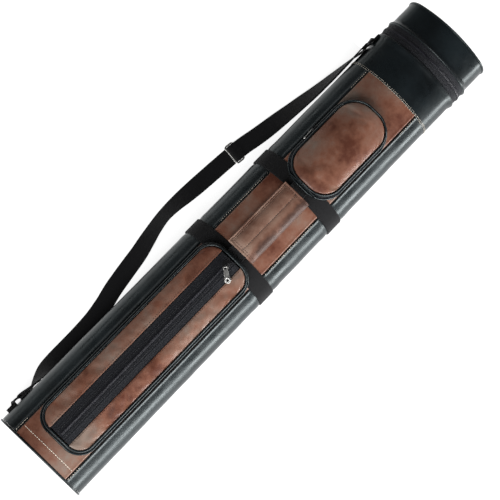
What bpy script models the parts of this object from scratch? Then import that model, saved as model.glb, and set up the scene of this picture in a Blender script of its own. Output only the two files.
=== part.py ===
"""Hard-sided cue case with a zipped lid, two zipped pockets, a carry handle and a shoulder strap.

The case lies on its flat back: +Z is up through the pockets, +X runs from the base to the lid, and
+Y is the side that carries the strap. The origin is on the ground under the middle of the case.
"""
import math

import bmesh
import bpy
from mathutils import Matrix, Vector

# ---------------------------------------------------------------- driving dimensions (metres)
LENGTH = 0.813
CLEARANCE = 0.0003

# The cross-section: a flat back, round sides and a shallow crown.
BACK_HALF_FLAT = 0.040
SIDE_HEIGHT = 0.0312
LOWER_RADIUS = 0.028
UPPER_CENTRE_Y = 0.044
UPPER_RADIUS = 0.024
CROWN_HEIGHT = 0.066
PANEL_HALF_WIDTH = 0.044

# Layers, as distances out from the shell's outer face.
SHELL_WALL = 0.0024
COVER = (0.0003, 0.0013)
TAPE = (0.0016, 0.0026)
WEBBING = (0.0016, 0.0032)
PIPING_RADIUS = 0.0015

# Stations along the case.
LID_SPLIT_X = 0.350
HINGE_HALF_GAP = 0.0010
YOKE_START_X = 0.2783
TAPE_WIDTH = 0.0125
BAND_WIDTH = 0.0254
LOWER_BAND_X = -0.0445
UPPER_BAND_X = 0.0917

# Zip sliders and their pulls: length, width, height.
LONG_SLIDER_SIZE = (0.0125, 0.0085, 0.0030)
LONG_PULL_SIZE = (0.0225, 0.0092, 0.0014)
LONG_PULL_LEAN = (-0.57, -0.80, -0.115)
SMALL_SLIDER_SIZE = (0.0110, 0.0070, 0.0026)
SMALL_PULL_SIZE = (0.0185, 0.0052, 0.0012)
SMALL_PULL_LEAN = (-1.0, -0.06, 0.0)
SMALL_SLIDER_X = 0.1640
PULL_HEEL = 0.0006
LID_SLIDER_ANGLE = -40.0
LID_SLIDER_SIZE = (0.0100, 0.0070, 0.0022)
LID_PULL_SIZE = (0.0125, 0.0062, 0.0010)

# Cue tubes.
BUTT_TUBE_Y = 0.046
BUTT_TUBE_RADII = (0.0168, 0.0182)
SHAFT_TUBE_OFFSET = 0.0131
SHAFT_TUBE_RADII = (0.0112, 0.0125)
SHAFT_CLUSTER_HEIGHT = 0.0346
TUBE_SPAN = (-0.3900, 0.3400)
COLLAR_SPAN = (0.3230, 0.3405)

# Pockets: x range, half width and corner radius of the gusset's outer face.
LONG_POCKET = (-0.3735, -0.0455, 0.0405, 0.024)
SMALL_POCKET = (0.0925, 0.2385, 0.0405, 0.033)
POCKET_WALL = 0.0013
POCKET_FOOT_GAP = 0.0007
POCKET_HEIGHT = 0.0126
SMALL_SPLIT_HEIGHT = 0.0080
ZIP_SLOT_HALF = 0.0165

# Handle.
HANDLE_SPAN = (-0.0330, 0.0800)
HANDLE_Y = (-0.0245, 0.0205)
HANDLE_Z = (0.0725, 0.0785)

# Shoulder strap and its metal pieces.
STRAP_WIDTH = 0.025
STRAP_THICKNESS = 0.0012
STRAP_PITCH = 0.0015
RING_WIRE = 0.0015
RING_HALF_WIDTH = 0.0142
RING_DEPTH = 0.0135
RING_BOW_START = 0.0045
RING_TAB_SEAM = 0.0030
RING_TAB_LENGTH = 0.0125
RING_OFFSET = 0.0046
TOP_RING = (0.3225, 0.0, -1.0)
BOTTOM_RING = (-0.3795, -18.0, 1.0)
TRI_GLIDE_CENTRE = (0.0776, 0.1006, 0.0027)
TRI_GLIDE_SIZE = (0.0160, 0.0310, 0.0018)
TRI_GLIDE_SLOT = (0.0032, 0.0040)

# Worked out from the sizes above.
HALF_LENGTH = LENGTH / 2
CROWN_RISE = CROWN_HEIGHT - SIDE_HEIGHT
CROWN_RADIUS = (UPPER_CENTRE_Y ** 2 + CROWN_RISE ** 2 - UPPER_RADIUS ** 2) / (2 * (CROWN_RISE - UPPER_RADIUS))
CROWN_CENTRE_Z = CROWN_HEIGHT - CROWN_RADIUS
CROWN_ANGLE = math.degrees(math.asin(UPPER_CENTRE_Y / (CROWN_RADIUS - UPPER_RADIUS)))
PANEL_ANGLE = 90 - math.degrees(math.asin(PANEL_HALF_WIDTH / (CROWN_RADIUS + COVER[1])))
BODY_START_X = -HALF_LENGTH + 2 * PIPING_RADIUS + CLEARANCE
LID_END_X = HALF_LENGTH - 2 * PIPING_RADIUS - CLEARANCE

# Arcs of the cross-section: centre y, centre z, radius, and the outward direction's range in degrees.
ARCS = (
    (BACK_HALF_FLAT, SIDE_HEIGHT, LOWER_RADIUS, -90, 0, 6),
    (UPPER_CENTRE_Y, SIDE_HEIGHT, UPPER_RADIUS, 0, 90 - CROWN_ANGLE, 5),
    (0, CROWN_CENTRE_Z, CROWN_RADIUS, 90 - CROWN_ANGLE, PANEL_ANGLE, 1),
    (0, CROWN_CENTRE_Z, CROWN_RADIUS, PANEL_ANGLE, 180 - PANEL_ANGLE, 6),
    (0, CROWN_CENTRE_Z, CROWN_RADIUS, 180 - PANEL_ANGLE, 90 + CROWN_ANGLE, 1),
    (-UPPER_CENTRE_Y, SIDE_HEIGHT, UPPER_RADIUS, 90 + CROWN_ANGLE, 180, 5),
    (-BACK_HALF_FLAT, SIDE_HEIGHT, LOWER_RADIUS, 180, 270, 6),
)

# The strap's route from the bottom ring to the top ring: x, y, z of its middle, and how far its
# upper face leans from level towards the strap's side of the case, in degrees.
STRAP_ROUTE = (
    (-0.3632, 0.0710, 0.0211, 108),
    (-0.3500, 0.0722, 0.0190, 96),
    (-0.3350, 0.0748, 0.0150, 70),
    (-0.3190, 0.0775, 0.0104, 44),
    (-0.3030, 0.0770, 0.0061, 23),
    (-0.2860, 0.0765, 0.0028, 8),
    (-0.2640, 0.0764, 0.0010, 0),
    (-0.2380, 0.0772, 0.0009, 0),
    (-0.2180, 0.0790, 0.0009, 0),
    (-0.1980, 0.0826, 0.0009, 0),
    (-0.1780, 0.0874, 0.0010, 0),
    (-0.1580, 0.0908, 0.0012, 2),
    (-0.1380, 0.0938, 0.0022, 6),
    (-0.1180, 0.0968, 0.0042, 15),
    (-0.0980, 0.1012, 0.0064, 27),
    (-0.0780, 0.1055, 0.0085, 38),
    (-0.0580, 0.1084, 0.0090, 41),
    (-0.0380, 0.1086, 0.0078, 34),
    (-0.0180, 0.1074, 0.0052, 21),
    (0.0020, 0.1060, 0.0027, 9),
    (0.0220, 0.1047, 0.0012, 2),
    (0.0420, 0.1033, 0.0009, 0),
    (0.0600, 0.1020, 0.0009, 0),
    (0.0776, 0.1006, 0.0009, 0),
    (0.0950, 0.0986, 0.0009, 0),
    (0.1120, 0.0954, 0.0011, 1),
    (0.1290, 0.0924, 0.0024, 7),
    (0.1460, 0.0898, 0.0044, 16),
    (0.1640, 0.0872, 0.0068, 28),
    (0.1810, 0.0848, 0.0088, 37),
    (0.1980, 0.0826, 0.0108, 44),
    (0.2150, 0.0803, 0.0132, 52),
    (0.2320, 0.0784, 0.0162, 60),
    (0.2490, 0.0767, 0.0199, 68),
    (0.2660, 0.0752, 0.0240, 76),
    (0.2830, 0.0738, 0.0282, 84),
    (0.2960, 0.0729, 0.0305, 89),
    (0.3065, 0.0726, 0.0312, 90),
)


# ---------------------------------------------------------------- scene helpers
def clear_scene():
    for obj in list(bpy.data.objects):
        bpy.data.objects.remove(obj, do_unlink=True)


clear_scene()
PARTS = bpy.data.collections.new("cue_case")
bpy.context.scene.collection.children.link(PARTS)

FINISHES = {
    "black_vinyl": ((0.020, 0.023, 0.026), 0.35, 0.0),
    "brown_vinyl": ((0.190, 0.080, 0.050), 0.45, 0.0),
    "black_webbing": ((0.010, 0.010, 0.012), 0.85, 0.0),
    "zip_tape": ((0.016, 0.017, 0.024), 0.75, 0.0),
    "silver_metal": ((0.700, 0.700, 0.690), 0.25, 1.0),
    "black_metal": ((0.030, 0.030, 0.032), 0.40, 0.8),
    "lining": ((0.012, 0.012, 0.013), 0.95, 0.0),
    "shell_board": ((0.080, 0.070, 0.060), 0.70, 0.0),
    "tube_plastic": ((0.030, 0.030, 0.030), 0.50, 0.0),
    "foam": ((0.060, 0.060, 0.065), 0.95, 0.0),
}


def material(finish):
    found = bpy.data.materials.get(finish)
    if found:
        return found
    colour, roughness, metallic = FINISHES[finish]
    made = bpy.data.materials.new(finish)
    made.use_nodes = True
    shader = made.node_tree.nodes["Principled BSDF"]
    shader.inputs["Base Color"].default_value = (*colour, 1.0)
    shader.inputs["Roughness"].default_value = roughness
    shader.inputs["Metallic"].default_value = metallic
    return made


def add_object(name, data, finish):
    data.materials.append(material(finish))
    obj = bpy.data.objects.new(name, data)
    PARTS.objects.link(obj)
    return obj


def surface_object(name, vertices, faces, thickness, finish, offset=-1.0):
    """An open surface that Solidify thickens; offset -1 grows it behind its faces."""
    mesh = bpy.data.meshes.new(name)
    bm = bmesh.new()
    points = [bm.verts.new(v) for v in vertices]
    for face in faces:
        bm.faces.new([points[i] for i in face])
    bm.to_mesh(mesh)
    bm.free()
    mesh.shade_smooth()
    mesh.set_sharp_from_angle(angle=math.radians(40))
    obj = add_object(name, mesh, finish)
    solidify = obj.modifiers.new("thickness", "SOLIDIFY")
    solidify.thickness = thickness
    solidify.offset = offset
    solidify.use_even_offset = True
    return obj


def wire_object(name, points, radius, finish, cyclic=False, sides=2):
    """A round wire, cord or piping along a list of points."""
    curve = bpy.data.curves.new(name, "CURVE")
    curve.dimensions = "3D"
    curve.bevel_depth = radius
    curve.bevel_resolution = sides
    curve.use_fill_caps = not cyclic
    spline = curve.splines.new("POLY")
    spline.points.add(len(points) - 1)
    for target, point in zip(spline.points, points):
        target.co = (*point, 1.0)
    spline.use_cyclic_u = cyclic
    return add_object(name, curve, finish)


def plate_object(name, outlines, thickness, finish, edge=0.0):
    """A flat plate from closed 2D outlines; inner outlines are holes."""
    curve = bpy.data.curves.new(name, "CURVE")
    curve.dimensions = "2D"
    curve.fill_mode = "BOTH"
    curve.extrude = thickness / 2 - edge
    curve.bevel_depth = edge
    curve.bevel_resolution = 1
    curve.offset = -edge
    for outline in outlines:
        spline = curve.splines.new("POLY")
        spline.points.add(len(outline) - 1)
        for target, (u, v) in zip(spline.points, outline):
            target.co = (u, v, 0.0, 1.0)
        spline.use_cyclic_u = True
    return add_object(name, curve, finish)


def place(obj, origin, along, normal):
    """Stand an object at origin with its local x along and its local z normal."""
    x_axis = Vector(along).normalized()
    z_axis = Vector(normal).normalized()
    y_axis = z_axis.cross(x_axis)
    turn = Matrix((x_axis, y_axis, z_axis)).transposed()
    obj.matrix_world = Matrix.Translation(Vector(origin)) @ turn.to_4x4()


# ---------------------------------------------------------------- the case's cross-section
def arc_point(arc, angle, offset):
    centre_y, centre_z, radius = arc[:3]
    reach = radius + offset
    turn = math.radians(angle)
    return centre_y + reach * math.cos(turn), centre_z + reach * math.sin(turn)


def section_path(offset, start=-90.0, end=270.0):
    """Points (y, z) round the section, between two outward directions in degrees."""
    points = []
    for arc in ARCS:
        first, last, steps = arc[3:]
        angles = [first + (last - first) * i / steps for i in range(steps + 1)]
        angles = [min(max(a, start), end) for a in angles]
        for angle in angles:
            point = arc_point(arc, angle, offset)
            inside = first - 0.001 <= angle <= last + 0.001
            if inside and (not points or math.dist(points[-1], point) > 0.0001):
                points.append(point)
    return points


def crown_z(y, height=0.0):
    return CROWN_CENTRE_Z + math.sqrt(CROWN_RADIUS ** 2 - y * y) + height


def wrap(name, span, path, layer, finish, closed=False):
    """A cover bent round the section between two stations along the case."""
    count = len(path)
    vertices = [(x, y, z) for x in span for y, z in path]
    steps = count if closed else count - 1
    faces = [(i, (i + 1) % count, count + (i + 1) % count, count + i) for i in range(steps)]
    return surface_object(name, vertices, faces, layer[1] - layer[0], finish)


def full_wrap(name, span, layer, finish):
    return wrap(name, span, section_path(layer[1]), layer, finish, closed=True)


def section_plate(name, span, offset, finish, holes=()):
    """A flat end plate shaped like the section, square to the case's length."""
    outlines = [section_path(offset), *holes]
    obj = plate_object(name, outlines, span[1] - span[0], finish)
    place(obj, ((span[0] + span[1]) / 2, 0, 0), (0, 1, 0), (1, 0, 0))
    return obj


def rim_piping(name, x, finish="black_vinyl"):
    offset = WEBBING[1] - PIPING_RADIUS
    points = [(x, y, z) for y, z in section_path(offset)]
    return wire_object(name, points, PIPING_RADIUS, finish, cyclic=True)


def circle(centre, radius, steps):
    turns = [2 * math.pi * i / steps for i in range(steps)]
    return [(centre[0] + radius * math.cos(t), centre[1] + radius * math.sin(t)) for t in turns]


# ---------------------------------------------------------------- body of the case
def body():
    full_wrap("body_shell", (BODY_START_X, LID_SPLIT_X - HINGE_HALF_GAP), (-SHELL_WALL, 0.0), "shell_board")
    cap_span = (-HALF_LENGTH + 0.0006, BODY_START_X - CLEARANCE)
    section_plate("base_cap", cap_span, -0.0003, "black_vinyl")
    rim_piping("base_piping", -HALF_LENGTH + PIPING_RADIUS)

    seam = math.degrees(CLEARANCE / CROWN_RADIUS)
    covers = (BODY_START_X, YOKE_START_X - CLEARANCE)
    front = section_path(COVER[1], PANEL_ANGLE + seam, 180 - PANEL_ANGLE - seam)
    wrap("front_panel", covers, front, COVER, "brown_vinyl")
    sides = section_path(COVER[1], 180 - PANEL_ANGLE, 270) + section_path(COVER[1], -90, PANEL_ANGLE)
    wrap("side_and_back_wrap", covers, sides, COVER, "black_vinyl")
    full_wrap("top_yoke", (YOKE_START_X, LID_SPLIT_X - HINGE_HALF_GAP), COVER, "black_vinyl")


def webbing_bands():
    for name, x in (("webbing_band_lower", LOWER_BAND_X), ("webbing_band_upper", UPPER_BAND_X)):
        full_wrap(name, (x - BAND_WIDTH / 2, x + BAND_WIDTH / 2), WEBBING, "black_webbing")


# ---------------------------------------------------------------- cue tubes and foam
def tube_centres():
    shafts = [
        (SHAFT_TUBE_OFFSET * side, SHAFT_CLUSTER_HEIGHT + SHAFT_TUBE_OFFSET * level)
        for side in (1, -1)
        for level in (1, -1)
    ]
    return [(BUTT_TUBE_Y, SIDE_HEIGHT), (-BUTT_TUBE_Y, SIDE_HEIGHT)], shafts


def cue_tube(name, centre, radii, steps):
    inner, outer = radii
    rim = circle(centre, outer, steps)
    wrap(name, TUBE_SPAN, rim, (inner, outer), "tube_plastic", closed=True)


def interior():
    butts, shafts = tube_centres()
    for side, centre in zip(("left", "right"), butts):
        cue_tube(f"butt_tube_{side}", centre, BUTT_TUBE_RADII, 24)
        disc = circle((0, 0), BUTT_TUBE_RADII[0] - CLEARANCE, 20)
        pad = plate_object(f"butt_pad_{side}", [disc], 0.004, "foam")
        place(pad, (TUBE_SPAN[0] + 0.0025, *centre), (0, 1, 0), (1, 0, 0))
    for number, centre in enumerate(shafts, start=1):
        cue_tube(f"shaft_tube_{number}", centre, SHAFT_TUBE_RADII, 20)
    lining = -SHELL_WALL - CLEARANCE
    holes = [circle(c, BUTT_TUBE_RADII[1] + CLEARANCE, 24) for c in butts]
    holes += [circle(c, SHAFT_TUBE_RADII[1] + CLEARANCE, 20) for c in shafts]
    section_plate("tube_collar", COLLAR_SPAN, lining, "foam", holes)
    section_plate("base_foam", (BODY_START_X + CLEARANCE, TUBE_SPAN[0] - CLEARANCE), lining, "foam")


# ---------------------------------------------------------------- lid
def lid():
    start = LID_SPLIT_X + HINGE_HALF_GAP
    full_wrap("lid_shell", (start, LID_END_X), (-SHELL_WALL, 0.0), "shell_board")
    full_wrap("lid_wrap", (start, LID_END_X), COVER, "black_vinyl")
    section_plate("lid_cap", (LID_END_X + CLEARANCE, HALF_LENGTH - 0.0006), -0.0003, "black_vinyl")
    rim_piping("lid_piping", HALF_LENGTH - PIPING_RADIUS)
    lining = -SHELL_WALL - CLEARANCE
    section_plate("lid_foam_pad", (LID_END_X - 0.008, LID_END_X), lining, "foam")
    full_wrap("lid_liner", (start + 0.002, LID_END_X - 0.0083), (lining - 0.0008, lining), "lining")


def lid_zip():
    body_edge = LID_SPLIT_X - HINGE_HALF_GAP
    lid_edge = LID_SPLIT_X + HINGE_HALF_GAP
    around = section_path(TAPE[1], -84, 264)
    wrap("lid_zip_tape_body", (body_edge - TAPE_WIDTH, body_edge), around, TAPE, "zip_tape")
    wrap("lid_zip_tape_lid", (lid_edge, lid_edge + TAPE_WIDTH), around, TAPE, "zip_tape")
    half = BACK_HALF_FLAT - 0.002
    back = [(-half, SIDE_HEIGHT - LOWER_RADIUS - TAPE[1]), (half, SIDE_HEIGHT - LOWER_RADIUS - TAPE[1])]
    wrap("hinge_strip_body", (body_edge - 0.016, body_edge), back, TAPE, "black_vinyl")
    wrap("hinge_strip_lid", (lid_edge, lid_edge + 0.016), back, TAPE, "black_vinyl")


# ---------------------------------------------------------------- zip sliders and pulls
def slider_outline(length, width):
    """The shield shape of a zip slider, pointed end towards -x."""
    half = width / 2
    return [
        (-0.50 * length, 0.35 * half),
        (-0.50 * length, -0.35 * half),
        (-0.15 * length, -half),
        (0.30 * length, -half),
        (0.50 * length, -0.55 * half),
        (0.50 * length, 0.55 * half),
        (0.30 * length, half),
        (-0.15 * length, half),
    ]


def pull_outline(length, width):
    """A pull that widens from its pivot at the origin to a round end along +x."""
    neck = 0.3 * width
    half = width / 2
    outline = [(-PULL_HEEL, neck), (-PULL_HEEL, -neck), (0.4 * length, -0.9 * half)]
    for i in range(9):
        turn = math.radians(-90 + 180 * i / 8)
        outline.append((length - half + half * math.cos(turn), half * math.sin(turn)))
    outline.append((0.4 * length, 0.9 * half))
    return outline


def zip_slider(name, origin, along, normal, finish, size):
    length, width, height = size
    obj = plate_object(name, [slider_outline(length, width)], height, finish, edge=0.0005)
    centre = Vector(origin) + Vector(normal).normalized() * height / 2
    place(obj, centre, along, normal)
    return obj


def zip_pull(name, pivot, along, normal, finish, size):
    length, width, height = size
    hole = circle((length - width / 2, 0), 0.28 * width, 12)
    obj = plate_object(name, [pull_outline(length, width), hole], height, finish)
    place(obj, pivot, along, normal)
    return obj


def lid_slider():
    """The lid's slider, parked low on the strap side where the zip ends, its pull lying on the yoke."""
    arc = ARCS[0]
    turn = math.radians(LID_SLIDER_ANGLE)
    out = (0, math.cos(turn), math.sin(turn))
    along_zip = (0, -math.sin(turn), math.cos(turn))
    length, width, height = LID_SLIDER_SIZE
    foot_offset = TAPE[1] + 2 * CLEARANCE
    foot = arc_point(arc, LID_SLIDER_ANGLE, foot_offset)
    zip_slider("lid_zip_slider", (LID_SPLIT_X, *foot), along_zip, out, "black_metal", LID_SLIDER_SIZE)
    pull_offset = foot_offset + height + CLEARANCE + LID_PULL_SIZE[2] / 2
    pivot = arc_point(arc, LID_SLIDER_ANGLE, pull_offset)
    zip_pull("lid_zip_pull", (LID_SPLIT_X - 0.0015, *pivot), (-1, 0, 0), out, "black_metal", LID_PULL_SIZE)


# ---------------------------------------------------------------- pockets
def rounded_outline(x0, x1, half_width, radius, corner_steps=5, end_steps=4):
    """A rounded rectangle's points (x, y), anticlockwise; its ends are split so they can follow the crown."""
    bend = half_width - radius
    corners = (
        (x1 - radius, bend, 0),
        (x0 + radius, bend, 90),
        (x0 + radius, -bend, 180),
        (x1 - radius, -bend, 270),
    )
    points = []
    for centre_x, centre_y, first in corners:
        for i in range(corner_steps + 1):
            turn = math.radians(first + 90 * i / corner_steps)
            points.append((centre_x + radius * math.cos(turn), centre_y + radius * math.sin(turn)))
        if first in (90, 270):
            end_x, from_y = points[-1]
            points += [(end_x, from_y * (1 - 2 * i / end_steps)) for i in range(1, end_steps)]
    return points


def base_height(x):
    """How far a pocket's foot stands off the crown: it steps up onto the webbing bands."""
    on_cover = COVER[1] + POCKET_FOOT_GAP
    on_band = WEBBING[1] + POCKET_FOOT_GAP
    reach = min(abs(x - LOWER_BAND_X), abs(x - UPPER_BAND_X)) - BAND_WIDTH / 2
    blend = min(max((0.012 - reach) / 0.010, 0.0), 1.0)
    return on_cover + (on_band - on_cover) * blend


def gusset(name, outline, low, high, thickness, finish):
    """A pocket's upright wall; low and high are heights above the crown, as functions of x."""
    count = len(outline)
    vertices = [(x, y, crown_z(y, low(x))) for x, y in outline]
    vertices += [(x, y, crown_z(y, high(x))) for x, y in outline]
    faces = [(i, (i + 1) % count, count + (i + 1) % count, count + i) for i in range(count)]
    return surface_object(name, vertices, faces, thickness, finish)


def pocket_piping(name, pocket, grow, height):
    x0, x1, half_width, radius = pocket
    outline = rounded_outline(x0 - grow, x1 + grow, half_width + grow, radius + grow)
    points = [(x, y, crown_z(y, height(x))) for x, y in outline]
    return wire_object(name, points, PIPING_RADIUS, "black_vinyl", cyclic=True)


def corner_inset(y, half_width, radius):
    past = max(abs(y) - (half_width - radius), 0.0)
    return radius - math.sqrt(max(radius ** 2 - past ** 2, 0.0))


def face_sheet(name, pocket, inset, y_values, height, thickness, finish):
    """A sheet over the crown, cut to the pocket's rounded outline across the given y values."""
    x0, x1, half_width, radius = pocket
    edge = half_width - inset
    corner = max(radius - inset, 0.001)
    vertices = []
    for y in y_values:
        cut = inset + corner_inset(y, edge, corner)
        z = crown_z(y, height)
        vertices += [(x0 + cut, y, z), (x1 - cut, y, z)]
    faces = [(2 * i, 2 * i + 1, 2 * i + 3, 2 * i + 2) for i in range(len(y_values) - 1)]
    return surface_object(name, vertices, faces, thickness, finish)


def spread(first, last, steps):
    return [first + (last - first) * i / steps for i in range(steps + 1)]


def edge_spread(half_width, radius, start, steps=6):
    """Values of y from start to the outline's edge, close together round the corner."""
    bend = half_width - radius
    turns = [math.sin(math.radians(90 * i / steps)) for i in range(steps + 1)]
    values = [bend + radius * t for t in turns if bend + radius * t > start + 0.001]
    return [start, *values]


def long_pocket():
    x0, x1, half_width, radius = LONG_POCKET
    outline = rounded_outline(*LONG_POCKET)
    top = POCKET_HEIGHT
    gusset("long_pocket_gusset", outline, base_height, lambda x: top, POCKET_WALL, "black_vinyl")
    base_grow = PIPING_RADIUS + 2 * CLEARANCE
    pocket_piping("long_pocket_base_piping", LONG_POCKET, base_grow, lambda x: base_height(x) + PIPING_RADIUS)
    pocket_piping("long_pocket_face_piping", LONG_POCKET, 0.0, lambda x: top + CLEARANCE + PIPING_RADIUS)

    inset = PIPING_RADIUS + CLEARANCE
    sheet_top = top + CLEARANCE + POCKET_WALL
    ys = edge_spread(half_width - inset, radius - inset, ZIP_SLOT_HALF)
    face_sheet("long_pocket_panel_left", LONG_POCKET, inset, ys, sheet_top, POCKET_WALL, "brown_vinyl")
    mirrored = [-y for y in reversed(ys)]
    face_sheet("long_pocket_panel_right", LONG_POCKET, inset, mirrored, sheet_top, POCKET_WALL, "brown_vinyl")

    tape_half = ZIP_SLOT_HALF - CLEARANCE
    tape_ys = spread(-tape_half, tape_half, 4)
    tape_top = top + CLEARANCE + 0.0010
    face_sheet("long_zip_tape", LONG_POCKET, inset, tape_ys, tape_top, 0.0010, "zip_tape")
    coil_bottom = CROWN_HEIGHT + tape_top + CLEARANCE
    coil = plate_object("long_zip_coil", [rectangle(x1 - x0 - 0.016, 0.0052)], 0.0012, "zip_tape")
    place(coil, ((x0 + x1) / 2, 0, coil_bottom + 0.0006), (1, 0, 0), (0, 0, 1))

    slider_z = coil_bottom + 0.0012 + CLEARANCE
    slider_at = (x1 - 0.0145, 0, slider_z)
    zip_slider("long_zip_slider", slider_at, (1, 0, 0), (0, 0, 1), "black_metal", LONG_SLIDER_SIZE)
    lean = Vector(LONG_PULL_LEAN).normalized()
    across = lean.cross((0, 0, 1))
    pivot = (x1 - 0.0175, -0.0010, slider_z + LONG_SLIDER_SIZE[2] + 0.0012)
    zip_pull("long_zip_pull", pivot, lean, across.cross(lean), "silver_metal", LONG_PULL_SIZE)


def rectangle(length, width):
    return [
        (length / 2, width / 2),
        (-length / 2, width / 2),
        (-length / 2, -width / 2),
        (length / 2, -width / 2),
    ]


def small_pocket():
    x0, x1, half_width, radius = SMALL_POCKET
    outline = rounded_outline(*SMALL_POCKET, corner_steps=6)
    split = SMALL_SPLIT_HEIGHT
    top = POCKET_HEIGHT
    below = split - CLEARANCE
    above = split + CLEARANCE
    gusset("small_pocket_gusset", outline, base_height, lambda x: below, POCKET_WALL, "black_vinyl")
    grow = PIPING_RADIUS + 2 * CLEARANCE
    pocket_piping("small_pocket_base_piping", SMALL_POCKET, grow, lambda x: base_height(x) + PIPING_RADIUS)
    gusset("small_cover_gusset", outline, lambda x: above, lambda x: top, POCKET_WALL, "black_vinyl")
    pocket_piping("small_cover_piping", SMALL_POCKET, 0.0, lambda x: top + CLEARANCE + PIPING_RADIUS)
    inset = PIPING_RADIUS + CLEARANCE
    ys = edge_spread(half_width - inset, radius - inset, 0.0)
    values = [-y for y in reversed(ys[1:])] + ys
    sheet_top = top + CLEARANCE + POCKET_WALL
    face_sheet("small_cover_face", SMALL_POCKET, inset, values, sheet_top, POCKET_WALL, "brown_vinyl")

    side_y = half_width + CLEARANCE
    side_z = crown_z(side_y, split)
    slider_at = (SMALL_SLIDER_X, side_y, side_z)
    zip_slider("small_zip_slider", slider_at, (1, 0, 0), (0, 1, 0), "black_metal", SMALL_SLIDER_SIZE)
    lean = Vector(SMALL_PULL_LEAN)
    normal = (lean.y, -lean.x, 0)
    pivot = (SMALL_SLIDER_X - 0.0030, side_y + SMALL_SLIDER_SIZE[2] + 0.0010, side_z)
    zip_pull("small_zip_pull", pivot, lean, normal, "silver_metal", SMALL_PULL_SIZE)


# ---------------------------------------------------------------- handle
def handle_section(grow):
    """The handle wrap's flattened oval section (y, z)."""
    low, high = HANDLE_Z
    radius = (high - low) / 2 + grow
    middle = (low + high) / 2
    points = []
    for centre, first in ((HANDLE_Y[1] - (high - low) / 2, -90), (HANDLE_Y[0] + (high - low) / 2, 90)):
        for i in range(7):
            turn = math.radians(first + 30 * i)
            points.append((centre + radius * math.cos(turn), middle + radius * math.sin(turn)))
    return points


def slab(name, x_span, y_span, z_span, finish):
    length = x_span[1] - x_span[0]
    width = y_span[1] - y_span[0]
    obj = plate_object(name, [rectangle(length, width)], z_span[1] - z_span[0], finish)
    centre = ((x_span[0] + x_span[1]) / 2, (y_span[0] + y_span[1]) / 2, (z_span[0] + z_span[1]) / 2)
    place(obj, centre, (1, 0, 0), (0, 0, 1))
    return obj


def handle():
    wrap("handle_wrap", HANDLE_SPAN, handle_section(0.0), (0.0, 0.0013), "brown_vinyl", closed=True)
    middle = (HANDLE_Z[0] + HANDLE_Z[1]) / 2
    half = STRAP_WIDTH / 2
    core = (HANDLE_SPAN[0] + 0.001, HANDLE_SPAN[1] - 0.001)
    slab("handle_webbing", core, (-half, half), (middle - 0.0010, middle + 0.0010), "black_webbing")
    foot = CROWN_HEIGHT + WEBBING[1] + CLEARANCE
    slab("handle_tab_lower", (-0.0415, -0.0336), (-half, half), (foot, foot + 0.0016), "black_webbing")
    slab("handle_tab_upper", (0.0806, 0.0870), (-half, half), (foot, foot + 0.0016), "black_webbing")


# ---------------------------------------------------------------- shoulder strap
def catmull_rom(p0, p1, p2, p3, t):
    def blend(a, b, c, d):
        square = 2 * a - 5 * b + 4 * c - d
        cube = 3 * b - a - 3 * c + d
        return 0.5 * (2 * b + (c - a) * t + square * t ** 2 + cube * t ** 3)

    return tuple(blend(*values) for values in zip(p0, p1, p2, p3))


def smooth_route(points, steps=2):
    padded = [points[0], *points, points[-1]]
    route = []
    for i in range(len(points) - 1):
        for step in range(steps):
            route.append(catmull_rom(*padded[i:i + 4], step / steps))
    route.append(points[-1])
    return route


def strap_ribbon(name, route, raise_by):
    """Webbing along a route of (x, y, z, lean), raised off the route along its own upper face."""
    vertices = []
    for i, (x, y, z, lean) in enumerate(route):
        before = Vector(route[max(i - 1, 0)][:3])
        after = Vector(route[min(i + 1, len(route) - 1)][:3])
        tangent = (after - before).normalized()
        turn = math.radians(lean)
        up = Vector((0, math.sin(turn), math.cos(turn)))
        across = up.cross(tangent).normalized()
        face = tangent.cross(across)
        middle = Vector((x, y, z)) + face * raise_by
        vertices += [middle - across * STRAP_WIDTH / 2, middle + across * STRAP_WIDTH / 2]
    faces = [(2 * i, 2 * i + 2, 2 * i + 3, 2 * i + 1) for i in range(len(route) - 1)]
    return surface_object(name, vertices, faces, STRAP_THICKNESS, "black_webbing", offset=0.0)


def strap():
    strap_ribbon("shoulder_strap", smooth_route(STRAP_ROUTE), 0.0)
    start_x = TRI_GLIDE_CENTRE[0] + TRI_GLIDE_SIZE[0] / 2 + 2 * CLEARANCE
    doubled = [p for p in STRAP_ROUTE if p[0] > start_x + 0.001]
    first = (start_x, 0.0996, 0.0009, 0)
    strap_ribbon("strap_return", smooth_route([first, *doubled]), STRAP_PITCH)


def tri_glide():
    """A rectangular frame with a centre bar, lying on the strap."""
    length, width, height = TRI_GLIDE_SIZE
    outer = rounded_outline(-length / 2, length / 2, width / 2, 0.003, 3, 1)
    middle, slot = TRI_GLIDE_SLOT
    slots = []
    for side in (1, -1):
        slots.append([(side * middle + u, v) for u, v in rectangle(slot, STRAP_WIDTH + 2 * CLEARANCE)])
    obj = plate_object("tri_glide", [outer, *slots], height, "silver_metal")
    place(obj, TRI_GLIDE_CENTRE, (1, -0.105, 0), (0, 0, 1))


def ring_frame(ring):
    """Where a ring's bar stands: its centre, the direction out of the case and along the bar."""
    x, angle, reach = ring
    turn = math.radians(angle)
    out = Vector((0, math.cos(turn), math.sin(turn)))
    bar = Vector((0, -math.sin(turn), math.cos(turn)))
    arc = ARCS[0]
    centre = Vector((x, *arc_point(arc, angle, RING_OFFSET)))
    return centre, out, bar, Vector((reach, 0, 0))


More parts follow.
